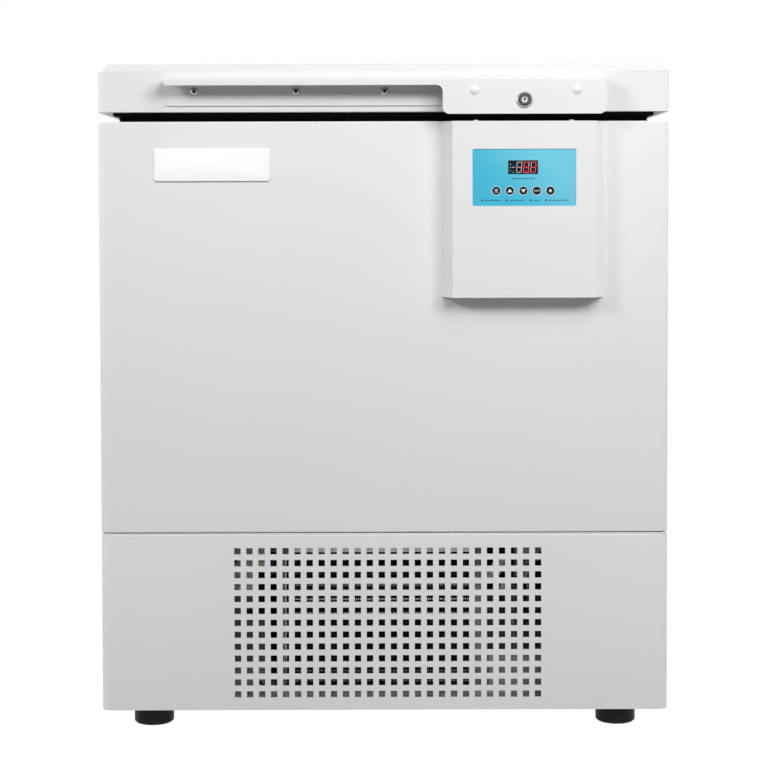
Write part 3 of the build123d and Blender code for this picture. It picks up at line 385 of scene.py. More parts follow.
@dataclass(frozen=True)
class Finish:
    """What every finish has: two close colours, roughness with its spread, and bump depth."""

    name: str
    light: Colour
    dark: Colour
    roughness: float = 0.4
    spread: float = 0.06
    bump: float = 0.05
    reach: float = 0.0002
    metallic: float = 0.0
    coat: float = 0.0
    specular: float = 0.5

    def pattern(self, tree: bpy.types.NodeTree, effects: Effects) -> dict[str, bpy.types.NodeSocket]:
        """Sockets named Shade and Height that drive colour, roughness and bump."""
        node = tree.nodes.new("ShaderNodeGroup")
        node.node_tree = effects.grain
        return {"Shade": node.outputs["Shade"], "Height": node.outputs["Height"]}

    def material(self, effects: Effects) -> bpy.types.Material:
        """Builds the material.

        Args:
            effects: Shared node groups.

        Returns:
            A node material whose colour, roughness and bump follow the finish's pattern.
        """
        material = bpy.data.materials.new(self.name)
        material.use_nodes = True
        tree = material.node_tree
        shader = tree.nodes["Principled BSDF"]
        shader.inputs["Metallic"].default_value = self.metallic
        shader.inputs["Coat Weight"].default_value = self.coat
        shader.inputs["Specular IOR Level"].default_value = self.specular
        sockets = self.pattern(tree, effects)
        mix = tree.nodes.new("ShaderNodeMix")
        mix.data_type = "RGBA"
        mix.inputs["A"].default_value = (*self.dark, 1)
        mix.inputs["B"].default_value = (*self.light, 1)
        tree.links.new(sockets["Shade"], mix.inputs["Factor"])
        tree.links.new(mix.outputs["Result"], shader.inputs["Base Color"])
        rough = tree.nodes.new("ShaderNodeMapRange")
        rough.inputs["To Min"].default_value = self.roughness - self.spread
        rough.inputs["To Max"].default_value = self.roughness + self.spread
        tree.links.new(sockets["Shade"], rough.inputs["Value"])
        tree.links.new(rough.outputs["Result"], shader.inputs["Roughness"])
        bump = tree.nodes.new("ShaderNodeBump")
        bump.inputs["Strength"].default_value = self.bump
        bump.inputs["Distance"].default_value = self.reach
        tree.links.new(sockets["Height"], bump.inputs["Height"])
        tree.links.new(bump.outputs["Normal"], shader.inputs["Normal"])
        return material


@dataclass(frozen=True)
class PowderCoat(Finish):
    """Sprayed and baked white paint with orange peel."""

    ripple: float = 420.0

    def pattern(self, tree: bpy.types.NodeTree, effects: Effects) -> dict[str, bpy.types.NodeSocket]:
        """Peel ripple for height and mottle less dust for shade."""
        node = tree.nodes.new("ShaderNodeGroup")
        node.node_tree = effects.peel
        node.inputs["Ripple"].default_value = self.ripple
        shade = math_node(tree, "SUBTRACT", node.outputs["Shade"], node.outputs["Dust"])
        return {"Shade": shade, "Height": node.outputs["Height"]}


@dataclass(frozen=True)
class BrushedMetal(Finish):
    """Metal with fine lines along one axis."""

    across: tuple[float, float, float] = (40.0, 40.0, 900.0)

    def pattern(self, tree: bpy.types.NodeTree, effects: Effects) -> dict[str, bpy.types.NodeSocket]:
        """Brush lines for height and streaks for shade."""
        node = tree.nodes.new("ShaderNodeGroup")
        node.node_tree = effects.brush
        for socket, value in zip(node.inputs, self.across):
            socket.default_value = value
        return {"Shade": node.outputs["Streak"], "Height": node.outputs["Height"]}


@dataclass(frozen=True)
class Galvanised(Finish):
    """Zinc coated sheet with spangle."""

    cells: float = 120.0

    def pattern(self, tree: bpy.types.NodeTree, effects: Effects) -> dict[str, bpy.types.NodeSocket]:
        """Spangle cells for shade and fine noise for height."""
        node = tree.nodes.new("ShaderNodeGroup")
        node.node_tree = effects.spangle
        node.inputs["Cells"].default_value = self.cells
        return {"Shade": node.outputs["Cell"], "Height": node.outputs["Height"]}


@dataclass(frozen=True)
class PrintWithPaintedLight(Finish):
    """Printed film with painted light: its colour gets lighter to the right and towards the top."""

    middle: Span = (0.1723, 0.6897)
    reach_out: float = 0.055
    climb: float = 1.1

    def pattern(self, tree: bpy.types.NodeTree, effects: Effects) -> dict[str, bpy.types.NodeSocket]:
        """Painted light ramp from the film's lower left to its upper right for shade, and fine grain for
        height.
        """
        grain = super().pattern(tree, effects)
        split = tree.nodes.new("ShaderNodeSeparateXYZ")
        tree.links.new(object_coordinates(tree), split.inputs[0])
        across = math_node(tree, "SUBTRACT", split.outputs["X"], self.middle[0])
        above = math_node(tree, "SUBTRACT", split.outputs["Z"], self.middle[1])
        upward = math_node(tree, "MULTIPLY", above, self.climb)
        ramp = tree.nodes.new("ShaderNodeMapRange")
        ramp.interpolation_type = "SMOOTHSTEP"
        ramp.inputs["From Min"].default_value = -self.reach_out
        ramp.inputs["From Max"].default_value = self.reach_out
        tree.links.new(math_node(tree, "ADD", across, upward), ramp.inputs["Value"])
        return {"Shade": ramp.outputs["Result"], "Height": grain["Height"]}


@dataclass(frozen=True)
class Glow(Finish):
    """Lit plastic that gives off its own colour."""

    power: float = 1.0

    def material(self, effects: Effects) -> bpy.types.Material:
        """Finish with emission of its light colour."""
        material = super().material(effects)
        shader = material.node_tree.nodes["Principled BSDF"]
        shader.inputs["Emission Color"].default_value = (*self.light, 1)
        shader.inputs["Emission Strength"].default_value = self.power
        return material


class Paintbox:
    """Makes each finish once and hands out its material."""

    def __init__(self) -> None:
        """Builds the shared groups and a place for materials."""
        self.effects = Effects()
        self.made: dict[str, bpy.types.Material] = {}
        self.smoothing = smoothing_group()

    def material(self, finish: Finish) -> bpy.types.Material:
        """Material of a finish."""
        if finish.name not in self.made:
            self.made[finish.name] = finish.material(self.effects)
        return self.made[finish.name]

    def dress(self, frame: dict, node: str, finish: Finish) -> None:
        """Gives a CAD node its finish and smooth shading across its round faces.

        Args:
            frame: The loaded frame.
            node: CAD node name.
            finish: Finish for the whole node.
        """
        piece = frame["nodes"][node]
        material = self.material(finish)
        if not piece.material_slots:
            piece.data.materials.append(material)
        for slot in piece.material_slots:
            slot.material = material
        modifier = piece.modifiers.new("round_faces", "NODES")
        modifier.node_group = self.smoothing
        LOG.info("dressed %s with %s", node, finish.name)


def smoothing_group() -> bpy.types.NodeTree:
    """Geometry group that joins doubled points and shades smooth below a sharp angle."""
    group = bpy.data.node_groups.new("round_faces", "GeometryNodeTree")
    for way in ("INPUT", "OUTPUT"):
        group.interface.new_socket("Geometry", in_out=way, socket_type=Sockets.GEOMETRY.value)
    start = group.nodes.new("NodeGroupInput")
    end = group.nodes.new("NodeGroupOutput")
    merge = group.nodes.new("GeometryNodeMergeByDistance")
    merge.inputs["Distance"].default_value = 0.002 * MM
    faces = group.nodes.new("GeometryNodeSetShadeSmooth")
    edges = group.nodes.new("GeometryNodeSetShadeSmooth")
    edges.domain = "EDGE"
    edges.inputs["Shade Smooth"].default_value = False
    angle = group.nodes.new("GeometryNodeInputMeshEdgeAngle")
    compare = group.nodes.new("FunctionNodeCompare")
    compare.data_type = "FLOAT"
    compare.operation = "GREATER_THAN"
    compare.inputs[1].default_value = math.radians(SHARP_ANGLE)
    link = group.links.new
    link(start.outputs[0], merge.inputs["Geometry"])
    link(merge.outputs["Geometry"], faces.inputs["Geometry"])
    link(faces.outputs["Geometry"], edges.inputs["Geometry"])
    link(angle.outputs["Unsigned Angle"], compare.inputs[0])
    link(compare.outputs["Result"], edges.inputs["Selection"])
    link(edges.outputs["Geometry"], end.inputs[0])
    return group


WHITE_PAINT = PowderCoat("white_paint", (0.80, 0.80, 0.80), (0.755, 0.755, 0.757), 0.46, 0.04, 0.06,
                         specular=0.3)
BADGE_WHITE = Finish("badge_white", (0.97, 0.97, 0.97), (0.95, 0.95, 0.95), 0.2, 0.03, 0.02, coat=0.3)
CAP_WHITE = Finish("cap_white", (0.8, 0.8, 0.8), (0.76, 0.76, 0.765), 0.35, 0.04, 0.03)
BREAKER_WHITE = Finish("breaker_white", (0.72, 0.73, 0.74), (0.68, 0.69, 0.7), 0.45, 0.05, 0.08)
LINER_STEEL = BrushedMetal("liner_steel", (0.62, 0.63, 0.64), (0.48, 0.49, 0.5), 0.32, 0.08, 0.08,
                           metallic=1.0)
ZINC_STEEL = BrushedMetal("zinc_steel", (0.6, 0.6, 0.6), (0.42, 0.42, 0.43), 0.35, 0.08, 0.1,
                          metallic=1.0, across=(500.0, 500.0, 500.0))
SCREW_STEEL = BrushedMetal("screw_steel", (0.42, 0.42, 0.42), (0.26, 0.26, 0.26), 0.38, 0.08, 0.1,
                           metallic=1.0, across=(700.0, 700.0, 700.0))
# Lock chrome: coarse light and dark mottle as painted reflections.
CHROME_PAINTED_REFLECTIONS = BrushedMetal("lock_chrome_painted_reflections", (0.5, 0.51, 0.5), (0.24, 0.25, 0.24), 0.2, 0.08, 0.05,
                      metallic=1.0, across=(300.0, 300.0, 300.0))
# Painted shade in the lock's sunk face.
LOCK_SHADE = Finish("lock_shade", (0.03, 0.032, 0.03), (0.012, 0.013, 0.012), 0.4, 0.06, 0.05, specular=0.3)
LOCK_NOSE = BrushedMetal("lock_nose", (0.9, 0.9, 0.9), (0.7, 0.7, 0.7), 0.3, 0.08, 0.05,
                         metallic=0.3, across=(300.0, 300.0, 300.0))
PLUG_METAL = BrushedMetal("lock_plug_metal", (0.2, 0.2, 0.19), (0.09, 0.09, 0.085), 0.35, 0.08, 0.05,
                          metallic=1.0, across=(300.0, 300.0, 300.0))
# Painted shade: a dark ring on the domed screw heads.
HEAD_RING_SHADE = Finish("screw_head_painted_shade", (0.12, 0.12, 0.12), (0.07, 0.07, 0.07), 0.4, 0.06, 0.05)
# Painted shade: the dark floor of screw sockets and of the lock's keyhole.
HOLE_SHADE = Finish("hole_painted_shade", (0.006, 0.006, 0.006), (0.003, 0.003, 0.003), 0.6, 0.06, 0.05,
                     specular=0.1)
GALVANISED = Galvanised("galvanised_sheet", (0.55, 0.6, 0.55), (0.42, 0.47, 0.42), 0.45, 0.1, 0.1,
                        metallic=0.2)
PAN_ZINC = Galvanised("base_pan_zinc", (0.74, 0.75, 0.75), (0.6, 0.61, 0.61), 0.5, 0.1, 0.1)
FOOT_ZINC = Galvanised("box_foot_zinc", (0.46, 0.47, 0.46), (0.36, 0.37, 0.36), 0.5, 0.1, 0.1)
GREEN_ZINC = Galvanised("passivated_sheet", (0.74, 0.97, 0.7), (0.6, 0.82, 0.56), 0.42, 0.1, 0.1,
                        metallic=0.3)
END_ZINC = Galvanised("coil_end_sheet", (0.5, 0.56, 0.47), (0.36, 0.4, 0.34), 0.45, 0.1, 0.1, metallic=0.2)
OLIVE_SHEET = Galvanised("dull_olive_sheet", (0.2, 0.21, 0.17), (0.14, 0.15, 0.12), 0.55, 0.1, 0.1)
# Pale sheet made extra bright as a painted highlight on lips and edge strips.
EDGE_HIGHLIGHT = Galvanised("pale_edge_painted_highlight", (0.88, 0.96, 0.84), (0.76, 0.84, 0.72), 0.24, 0.06, 0.06,
                         metallic=1.0)
# Painted shade: flat dark patches and strips where only shade falls.
GAP_SHADE = Finish("unlit_gap", (0.012, 0.012, 0.012), (0.006, 0.006, 0.006), 0.7, 0.05, 0.05, specular=0.1)
FIN_METAL = BrushedMetal("fin_aluminium", (0.11, 0.115, 0.115), (0.03, 0.032, 0.032), 0.45, 0.1, 0.1,
                         metallic=0.2, across=(60.0, 60.0, 900.0))
DRYER_PAINT = PowderCoat("dryer_paint", (0.075, 0.085, 0.085), (0.05, 0.058, 0.058), 0.38, 0.05, 0.06)
COPPER = BrushedMetal("copper_tube", (0.72, 0.38, 0.24), (0.5, 0.25, 0.16), 0.3, 0.1, 0.08,
                      metallic=1.0, across=(200.0, 200.0, 200.0))
TUBE_METAL = BrushedMetal("tube_aluminium", (0.3, 0.3, 0.3), (0.2, 0.2, 0.2), 0.4, 0.1, 0.08,
                          metallic=0.4, across=(900.0, 60.0, 60.0))
# Painted glints on the condenser tubes, bright and faint.
COLLAR_GLINT = Finish("collar_painted_glint", (0.98, 0.98, 0.97), (0.94, 0.94, 0.93), 0.22, 0.05, 0.02,
                       metallic=1.0)
COLLAR_FAINT_GLINT = Finish("collar_painted_faint_glint", (0.8, 0.8, 0.79), (0.66, 0.66, 0.65), 0.3, 0.06, 0.05, metallic=0.7)
PIPE_PAINT = PowderCoat("painted_pipe", (0.24, 0.31, 0.35), (0.17, 0.23, 0.27), 0.38, 0.05, 0.06)
HOT_PIPE = PowderCoat("dark_pipe", (0.05, 0.045, 0.04), (0.03, 0.027, 0.024), 0.4, 0.05, 0.06)
BLACK_RUBBER = Finish("black_rubber", (0.02, 0.02, 0.021), (0.011, 0.011, 0.012), 0.5, 0.12, 0.25, 0.0003,
                      specular=0.15)
GASKET_RUBBER = Finish("gasket_rubber", (0.005, 0.005, 0.0055), (0.0025, 0.0025, 0.003), 0.75, 0.1,
                       0.15, 0.0002, specular=0.1)
BLACK_PLASTIC = Finish("black_plastic", (0.028, 0.028, 0.03), (0.018, 0.018, 0.02), 0.5, 0.08, 0.15)
BLACK_ENAMEL = PowderCoat("black_enamel", (0.03, 0.03, 0.03), (0.015, 0.015, 0.016), 0.35, 0.06, 0.08)
KEY_BLACK = Finish("key_black", (0.008, 0.008, 0.01), (0.004, 0.004, 0.005), 0.4, 0.05, 0.03, specular=0.15)
# Overlay colour with painted light, lighter to the right and towards the top.
OVERLAY_BLUE = PrintWithPaintedLight("overlay_blue", (0.14, 0.55, 0.72), (0.04, 0.45, 0.63), 0.34, 0.03, 0.03)
DISPLAY_NAVY = Finish("display_navy", (0.006, 0.012, 0.024), (0.004, 0.008, 0.017), 0.3, 0.03, 0.02,
                      specular=0.12)
BOARD_GREEN = Finish("board_green", (0.03, 0.2, 0.09), (0.02, 0.13, 0.06), 0.35, 0.08, 0.1)
FOAM = Finish("rigid_foam", (0.78, 0.68, 0.42), (0.66, 0.56, 0.33), 0.85, 0.08, 0.5, 0.0008)
SIGN_WHITE = Finish("sign_white", (0.78, 0.79, 0.8), (0.72, 0.73, 0.74), 0.4, 0.04, 0.02)
RING_GREY = Finish("ring_grey", (0.62, 0.76, 0.82), (0.56, 0.7, 0.77), 0.35, 0.04, 0.02)
MARK_INK = Finish("mark_ink", (0.01, 0.05, 0.09), (0.006, 0.035, 0.065), 0.45, 0.04, 0.02)
DIGIT_OFF = Finish("digit_off", (0.52, 0.5, 0.47), (0.42, 0.4, 0.38), 0.4, 0.04, 0.02)
DIGIT_LIT = Glow("digit_lit", (0.95, 0.035, 0.02), (0.85, 0.025, 0.015), 0.4, 0.03, 0.01, power=0.45)
CABLE_GREY = Finish("cable_grey", (0.72, 0.82, 0.84), (0.56, 0.66, 0.68), 0.35, 0.06, 0.05, coat=0.4)
# Painted highlight of the lower cover's top edge, under the front seam.
SEAM_HIGHLIGHT = Finish("seam_painted_highlight", (0.95, 0.95, 0.95), (0.9, 0.9, 0.9), 0.4, 0.06, 0.03)
FILTER_BLACK = Finish("filter_felt", (0.02, 0.02, 0.021), (0.01, 0.01, 0.011), 0.9, 0.06, 0.5, 0.0008,
                      specular=0.1)

NODE_FINISHES: dict[str, Finish] = {
    **dict.fromkeys(("upper_wrapper", "rear_panel", "lid_shell", "handle_bracket", "control_housing",
                     "lower_front_cover", "rear_vent_panel", "lower_side_panels"), WHITE_PAINT),
    **dict.fromkeys(("breaker_frame", "lid_inner_pan"), BREAKER_WHITE),
    **dict.fromkeys(("cabinet_foam", "lid_foam"), FOAM),
    **dict.fromkeys(("chest_deck", "housing_brackets", "corner_posts", "condenser_side_plates",
                     "fan_shroud", "fan_strap", "electrical_box"), GALVANISED),
    **dict.fromkeys(("inner_liner", "heat_exchanger"), LINER_STEEL),
    **dict.fromkeys(("temperature_probe", "lock_nut", "lock_cam", "cabinet_hinge_leaves",
                     "lid_hinge_leaves", "hinge_pins", "fan_motor"), ZINC_STEEL),
    **dict.fromkeys(("evaporator_coil", "suction_line"), COPPER),
    **dict.fromkeys(("display_carrier", "key_switches", "fan_rotor", "power_inlet",
                     "switch_frame"), BLACK_PLASTIC),
    **dict.fromkeys(("key_1", "key_2", "key_3", "key_4", "key_5", "power_rocker"), KEY_BLACK),
    **dict.fromkeys(("compressors", "expansion_tank"), BLACK_ENAMEL),
    **dict.fromkeys(("rubber_feet", "compressor_grommets"), BLACK_RUBBER),
    "lid_gasket": GASKET_RUBBER,
    "handle_screws": SCREW_STEEL,
    "screw_caps": CAP_WHITE,
    "lock_barrel": CHROME_PAINTED_REFLECTIONS,
    "lock_plug": PLUG_METAL,
    "display_overlay": OVERLAY_BLUE,
    "control_board": BOARD_GREEN,
    "led_display": DISPLAY_NAVY,
    "base_pan": PAN_ZINC,
    "pipe_guard": PAN_ZINC,
    "condenser_fins": FIN_METAL,
    "condenser_tube": TUBE_METAL,
    "filter_dryer": DRYER_PAINT,
    "liquid_lines": PIPE_PAINT,
    "discharge_line": HOT_PIPE,
}


# Sub-assemblies


def middle_of(low: Vector, high: Vector) -> Span:
    """X and Z of a box's middle."""
    return (low.x + high.x) / 2, (low.z + high.z) / 2


def flat(lift: float) -> list[Span]:
    """Levels of a flat piece that stands lift proud."""
    return [(1.0, 0.0), (1.0, lift)]


def band(inner: float, outer: float, lift: float) -> list[Span]:
    """Radius and height pairs of a flat ring's section."""
    return [(inner, 0.0), (outer, 0.0), (outer, lift), (inner, lift)]


def turned(profile: list[Span], centre: Span, back: float, steps: int) -> np.ndarray:
    """Rings of a closed section turned about an axis along Y.

    Args:
        profile: Radius and height of each point of the section.
        centre: X and Z of the axis.
        back: Y of the plane that heights start from.
        steps: Segments round the axis.

    Returns:
        Array of rings by points by three, to be closed as a loop.
    """
    angles = circle_outline(1.0, steps)
    return np.stack([raised(angles * r, centre, [(1.0, h)], back)[0] for r, h in profile])


def flat_plate(x: Span, z: Span, back: float, lift: float, corner: float = 0.5 * MM) -> np.ndarray:
    """Rings of a flat plate.

    Args:
        x: Its left and right edge.
        z: Its lower and upper edge.
        back: Y of the plane it stands on.
        lift: Its thickness.
        corner: Radius of its corners.

    Returns:
        Array of rings by points by three.
    """
    outline = rounded_outline(x[1] - x[0], z[1] - z[0], corner, 2)
    return raised(outline, ((x[0] + x[1]) / 2, (z[0] + z[1]) / 2), flat(lift), back)


def cut_sheet(outline: list[Span], back: float, lift: float) -> np.ndarray:
    """Rings of a sheet of any convex outline, given in millimetres, in front of the plane back."""
    return raised(np.array(outline) * MM, (0.0, 0.0), flat(lift), back)


@dataclass
class Trim:
    """A group of small pieces made with the shared finishes."""

    paints: Paintbox

    def add(self, shell: Shell, name: str, finish: Finish, slot: str,
            body: str = Body.CABINET.value) -> None:
        """Builds one piece.

        Args:
            shell: Its collected skins.
            name: Piece name.
            finish: Its finish.
            slot: Material slot of the record that it follows.
            body: CAD body that carries it.
        """
        shell.build(name, self.paints.material(finish), body, slot)


@dataclass
class FrontBadge(Trim):
    """Bare domed plate on the cabinet's front."""

    width: float = 143.4 * MM
    height: float = 39.7 * MM
    radius: float = 3.0 * MM
    thickness: float = 2.6 * MM
    centre_x: float = -212.4 * MM
    drop: float = 53.9 * MM
    taper: float = 0.035
    wall_share: float = 0.35

    def build(self) -> None:
        """Builds the plate with a rounded edge and a flat face."""
        low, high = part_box("upper_wrapper")
        outline = rounded_outline(self.width, self.height, self.radius)
        edge = np.linspace(0, math.pi / 2, 5)
        shrink = 1 - self.taper * (1 - np.cos(edge))
        lift = self.thickness * (self.wall_share + (1 - self.wall_share) * np.sin(edge))
        levels = [(1.0, 0.0)] + list(zip(shrink.tolist(), lift.tolist()))
        plate = Shell().skin(raised(outline, (self.centre_x, high.z - self.drop), levels, low.y))
        self.add(plate, "badge_plate", BADGE_WHITE, "white_plastic")


@dataclass
class DigitDisplay(Trim):
    """Seven-segment digits behind the display window; digits holds the lit bars of each."""

    digit_height: float = 13.2 * MM
    digit_width: float = 6.6 * MM
    stroke: float = 0.8 * MM
    tip_gap: float = 0.12 * MM
    pitch: float = 8.7 * MM
    first_x: float = 3.9 * MM
    slant: float = 0.09
    lift: float = 0.12 * MM
    digits: tuple[str, ...] = ("", "acdefg", "abcdg")
    minus_half: float = 2.2 * MM
    minus_shift: float = 11.8 * MM
    dot: float = 0.62 * MM
    lit_dots: tuple[Span, ...] = ((-0.6, 7.1), (8.0, 7.1), (6.4, -6.9))
    dim_dots: tuple[Span, ...] = ((-15.6, 3.6), (-15.6, 0.2), (-15.6, -4.2), (-11.9, -5.9))

    def bar(self, start: Span, end: Span) -> np.ndarray:
        """Hexagon outline of one bar: both ends pointed at 45 degrees, sides half a stroke away."""
        a, b = np.array(start), np.array(end)
        along = (b - a) / np.linalg.norm(b - a)
        side = np.array([-along[1], along[0]]) * self.stroke / 2
        tip = along * self.stroke / 2
        return np.array([a, a + tip + side, b - tip + side, b, b - tip - side, a + tip - side])

    def digit_bars(self, letters: str) -> list[np.ndarray]:
        """Bars of one digit about its centre, by their usual letters a to g."""
        w = (self.digit_width - self.stroke) / 2
        h = (self.digit_height - self.stroke) / 2
        gap = self.tip_gap
        places = {
            "a": ((-w + gap, h), (w - gap, h)), "b": ((w, h - gap), (w, gap)),
            "c": ((w, -gap), (w, -h + gap)), "d": ((-w + gap, -h), (w - gap, -h)),
            "e": ((-w, -gap), (-w, -h + gap)), "f": ((-w, h - gap), (-w, gap)),
            "g": ((-w + gap, 0), (w - gap, 0)),
        }
        return [self.bar(*places[letter]) for letter in letters]

    def lean(self, outline: np.ndarray) -> np.ndarray:
        """Slants an outline: x grows with z times the slant."""
        return outline + np.column_stack([outline[:, 1] * self.slant, np.zeros(len(outline))])

    def build(self) -> None:
        """Builds the dim and the lit bars as two pieces, with the points beside them."""
        low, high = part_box("led_display")
        middle = middle_of(low, high)
        lit, dim = Shell(), Shell()
        levels = flat(self.lift)
        for place, on in enumerate(self.digits):
            x = middle[0] + self.first_x + (place - 1) * self.pitch
            off = "".join(letter for letter in "abcdefg" if letter not in on)
            for shell, letters in ((lit, on), (dim, off)):
                for outline in self.digit_bars(letters):
                    shell.skin(raised(self.lean(outline), (x, middle[1]), levels, low.y))
        minus = self.bar((-self.minus_half, 0), (self.minus_half, 0))
        dim.skin(raised(minus, (middle[0] - self.minus_shift, middle[1]), levels, low.y))
        dot = circle_outline(self.dot, 12)
        for shell, spots in ((lit, self.lit_dots), (dim, self.dim_dots)):
            for dx, dz in spots:
                shell.skin(raised(dot, (middle[0] + dx * MM, middle[1] + dz * MM), levels, low.y))
        self.add(lit, "digits_lit", DIGIT_LIT, "display_navy")
        self.add(dim, "digits_unlit", DIGIT_OFF, "display_navy")


@dataclass
class KeySigns(Trim):
    """Light rings round the keys and plain signs on them."""

    ring_outer: float = 5.85 * MM
    ring_inner: float = 5.08 * MM
    lift: float = 0.12 * MM
    size: float = 2.9 * MM
    half_base: float = 1.05
    foot: float = 0.62
    tip: float = 0.85
    bar_step: float = 1.5 * MM
    bar_width: float = 4.2 * MM
    bar_height: float = 0.7 * MM
    bar_corner: float = 0.3 * MM
    dot: float = 0.8 * MM
    dot_pitch: float = 2.4 * MM
    diamond: float = 2.2 * MM

    def triangle(self, up: bool) -> np.ndarray:
        """Triangle that points up or down, with its base wider than its height."""
        s = self.size * (1 if up else -1)
        half = abs(s) * self.half_base
        return np.array([(-half, -s * self.foot), (half, -s * self.foot), (0, s * self.tip)])

    def bars(self, count: int) -> list[np.ndarray]:
        """Short level bars, one above another."""
        rows = (np.arange(count) - (count - 1) / 2) * self.bar_step
        bar = rounded_outline(self.bar_width, self.bar_height, self.bar_corner, 2)
        return [bar + np.array([0, row]) for row in rows]

    def signs(self) -> list[list[np.ndarray]]:
        """Outlines of the signs, one list for each key."""
        dot = circle_outline(self.dot, 16)
        dots = [dot + np.array([place * self.dot_pitch, 0]) for place in (-1, 0, 1)]
        diamond = circle_outline(self.diamond, 4)
        return [self.bars(3), [self.triangle(True)], [self.triangle(False)], dots, [diamond]]

    def build(self) -> None:
        """Builds one ring piece on the overlay and one sign piece on each key's own body."""
        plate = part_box("display_overlay")[0]
        rings = Shell()
        profile = band(self.ring_inner, self.ring_outer, self.lift)
        for number, outlines in enumerate(self.signs(), start=1):
            low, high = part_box(f"key_{number}")
            centre = middle_of(low, high)
            rings.loop(turned(profile, centre, plate.y, 40))
            shell = Shell()
            for outline in outlines:
                shell.skin(raised(outline, centre, flat(self.lift), low.y))
            self.add(shell, f"key_sign_{number}", SIGN_WHITE, "key_black", f"button_{number}")
        self.add(rings, "key_rings", RING_GREY, "overlay_blue")


@dataclass
class PanelMarks(Trim):
    """Small plain marks and rows of dashes printed on the overlay."""

    lift: float = 0.06 * MM
    row_drop: float = 28.1 * MM
    mark: float = 1.15 * MM
    mark_corner: float = 0.4 * MM
    dash: float = 1.5 * MM
    dash_height: float = 1.25 * MM
    dash_corner: float = 0.2 * MM
    dash_pitch: float = 2.1 * MM
    first_dash: float = 1.9
    rows: tuple[tuple[float, int], ...] = ((-51.6, 9), (-21.8, 9), (8.2, 4), (26.4, 12))
    title_count: int = 14
    title_drop: float = 5.6 * MM

    def dashes(self, shell: Shell, start: Span, count: int, back: float) -> None:
        """Adds a level row of short dashes: dash n stands n pitches to the right of the start."""
        outline = rounded_outline(self.dash, self.dash_height, self.dash_corner, 2)
        for number in range(count):
            spot = (start[0] + number * self.dash_pitch, start[1])
            shell.skin(raised(outline, spot, flat(self.lift), back))

    def build(self) -> None:
        """Builds a square mark and a row of dashes for each lamp, and one row under the display."""
        low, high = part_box("display_overlay")
        centre = middle_of(low, high)
        level = centre[1] - self.row_drop
        shell = Shell()
        square = rounded_outline(2 * self.mark, 2 * self.mark, self.mark_corner, 3)
        for place, count in self.rows:
            x = centre[0] + place * MM
            shell.skin(raised(square, (x, level), flat(self.lift), low.y))
            self.dashes(shell, (x + self.first_dash * self.dash_pitch, level), count, low.y)
        screen_low, screen_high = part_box("led_display")
        start = (screen_low.x + screen_high.x) / 2 - (self.title_count - 1) / 2 * self.dash_pitch
        self.dashes(shell, (start, screen_low.z - self.title_drop), self.title_count, low.y)
        self.add(shell, "panel_marks", MARK_INK, "overlay_blue")


@dataclass
class LockFace(Trim):
    """Painted shade in the sunk ring, small bright nose, and a keyhole painted as shade, of the cam lock.
    """

    ring_outer: float = 7.5 * MM
    ring_gap: float = 0.15 * MM
    sunk: float = 1.0 * MM
    lift: float = 0.15 * MM
    nose: float = 3.3 * MM
    bow: float = 1.5 * MM
    bow_rise: float = 0.9 * MM
    tail: float = 1.0 * MM
    tail_drop: float = 1.9 * MM

    def keyhole(self) -> np.ndarray:
        """Keyhole outline: a round bow on top and a tail that narrows downwards."""
        turns = np.radians(np.linspace(-55, 235, 20))
        bow = self.bow * np.column_stack([np.cos(turns), np.sin(turns)]) + (0, self.bow_rise)
        tail = np.array([(-self.tail * 0.5, -self.tail_drop), (self.tail * 0.5, -self.tail_drop)])
        return np.vstack([bow, tail])

    def build(self) -> None:
        """Builds the painted shade ring on the barrel, and the nose and the painted shade keyhole on the
        plug that turns.
        """
        low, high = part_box("lock_barrel")
        centre = middle_of(low, high)
        plug_low, plug_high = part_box("lock_plug")
        inner = (plug_high.x - plug_low.x) / 2 + self.ring_gap
        profile = band(inner, self.ring_outer, self.lift)
        shade = Shell().loop(turned(profile, centre, low.y + self.sunk, 48))
        self.add(shade, "lock_ring_shade", LOCK_SHADE, "steel", Body.LID.value)
        nose = Shell().skin(raised(circle_outline(self.nose), centre, flat(self.lift), plug_low.y))
        self.add(nose, "lock_nose", LOCK_NOSE, "steel", Body.LOCK.value)
        face = plug_low.y - self.lift
        hole = Shell().skin(raised(self.keyhole(), centre, flat(self.lift / 2), face))
        self.add(hole, "lock_keyhole_shade", HOLE_SHADE, "steel", Body.LOCK.value)


@dataclass
class ScrewSocketShades(Trim):
    """Painted shade on the three handle screws that show: dark rings on the domed heads and dark hexagons
    in their sockets.
    """

    head: float = 5.3 * MM
    socket: float = 2.3 * MM
    lift: float = 0.12 * MM
    end_inset: float = 35.9 * MM
    pitch: float = 109.4 * MM
    drop: float = 16.8 * MM
    plate: float = 2.0 * MM
    inner_share: float = 1.05
    outer_share: float = 0.78
    socket_levels: Span = (1.3 * MM, 1.5 * MM)

    def build(self) -> None:
        """Builds one piece of painted shade rings and one piece of painted shade sockets over the heads.

        The ring follows the head's ball slice: at distance r from the middle it stands
        sqrt(ball² - r²) - (ball - height) above the plate, plus the lift.
        """
        low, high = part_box("handle_bracket")
        screws_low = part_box("handle_screws")[0]
        middle = (low.x + high.x) / 2
        level = high.z - self.drop
        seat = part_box("lid_shell")[0].y - self.plate
        height = seat - screws_low.y
        ball = (self.head**2 + height**2) / (2 * height)
        radii = np.linspace(self.socket * self.inner_share, self.head * self.outer_share, 5)
        rise = np.sqrt(ball**2 - radii**2) - (ball - height)
        profile = [(r, h + self.lift) for r, h in zip(radii, rise)]
        profile += [(r, h - self.lift) for r, h in zip(radii[::-1], rise[::-1])]
        levels = [(1.0, rise_at) for rise_at in self.socket_levels]
        rings, sockets = Shell(), Shell()
        for x in (low.x + self.end_inset, middle - self.pitch, middle):
            rings.loop(turned(profile, (x, level), seat, 32))
            sockets.skin(raised(circle_outline(self.socket, 6), (x, level), levels, seat))
        self.add(rings, "screw_head_shade_rings", HEAD_RING_SHADE, "steel", Body.LID.value)
        self.add(sockets, "screw_socket_shades", HOLE_SHADE, "steel", Body.LID.value)


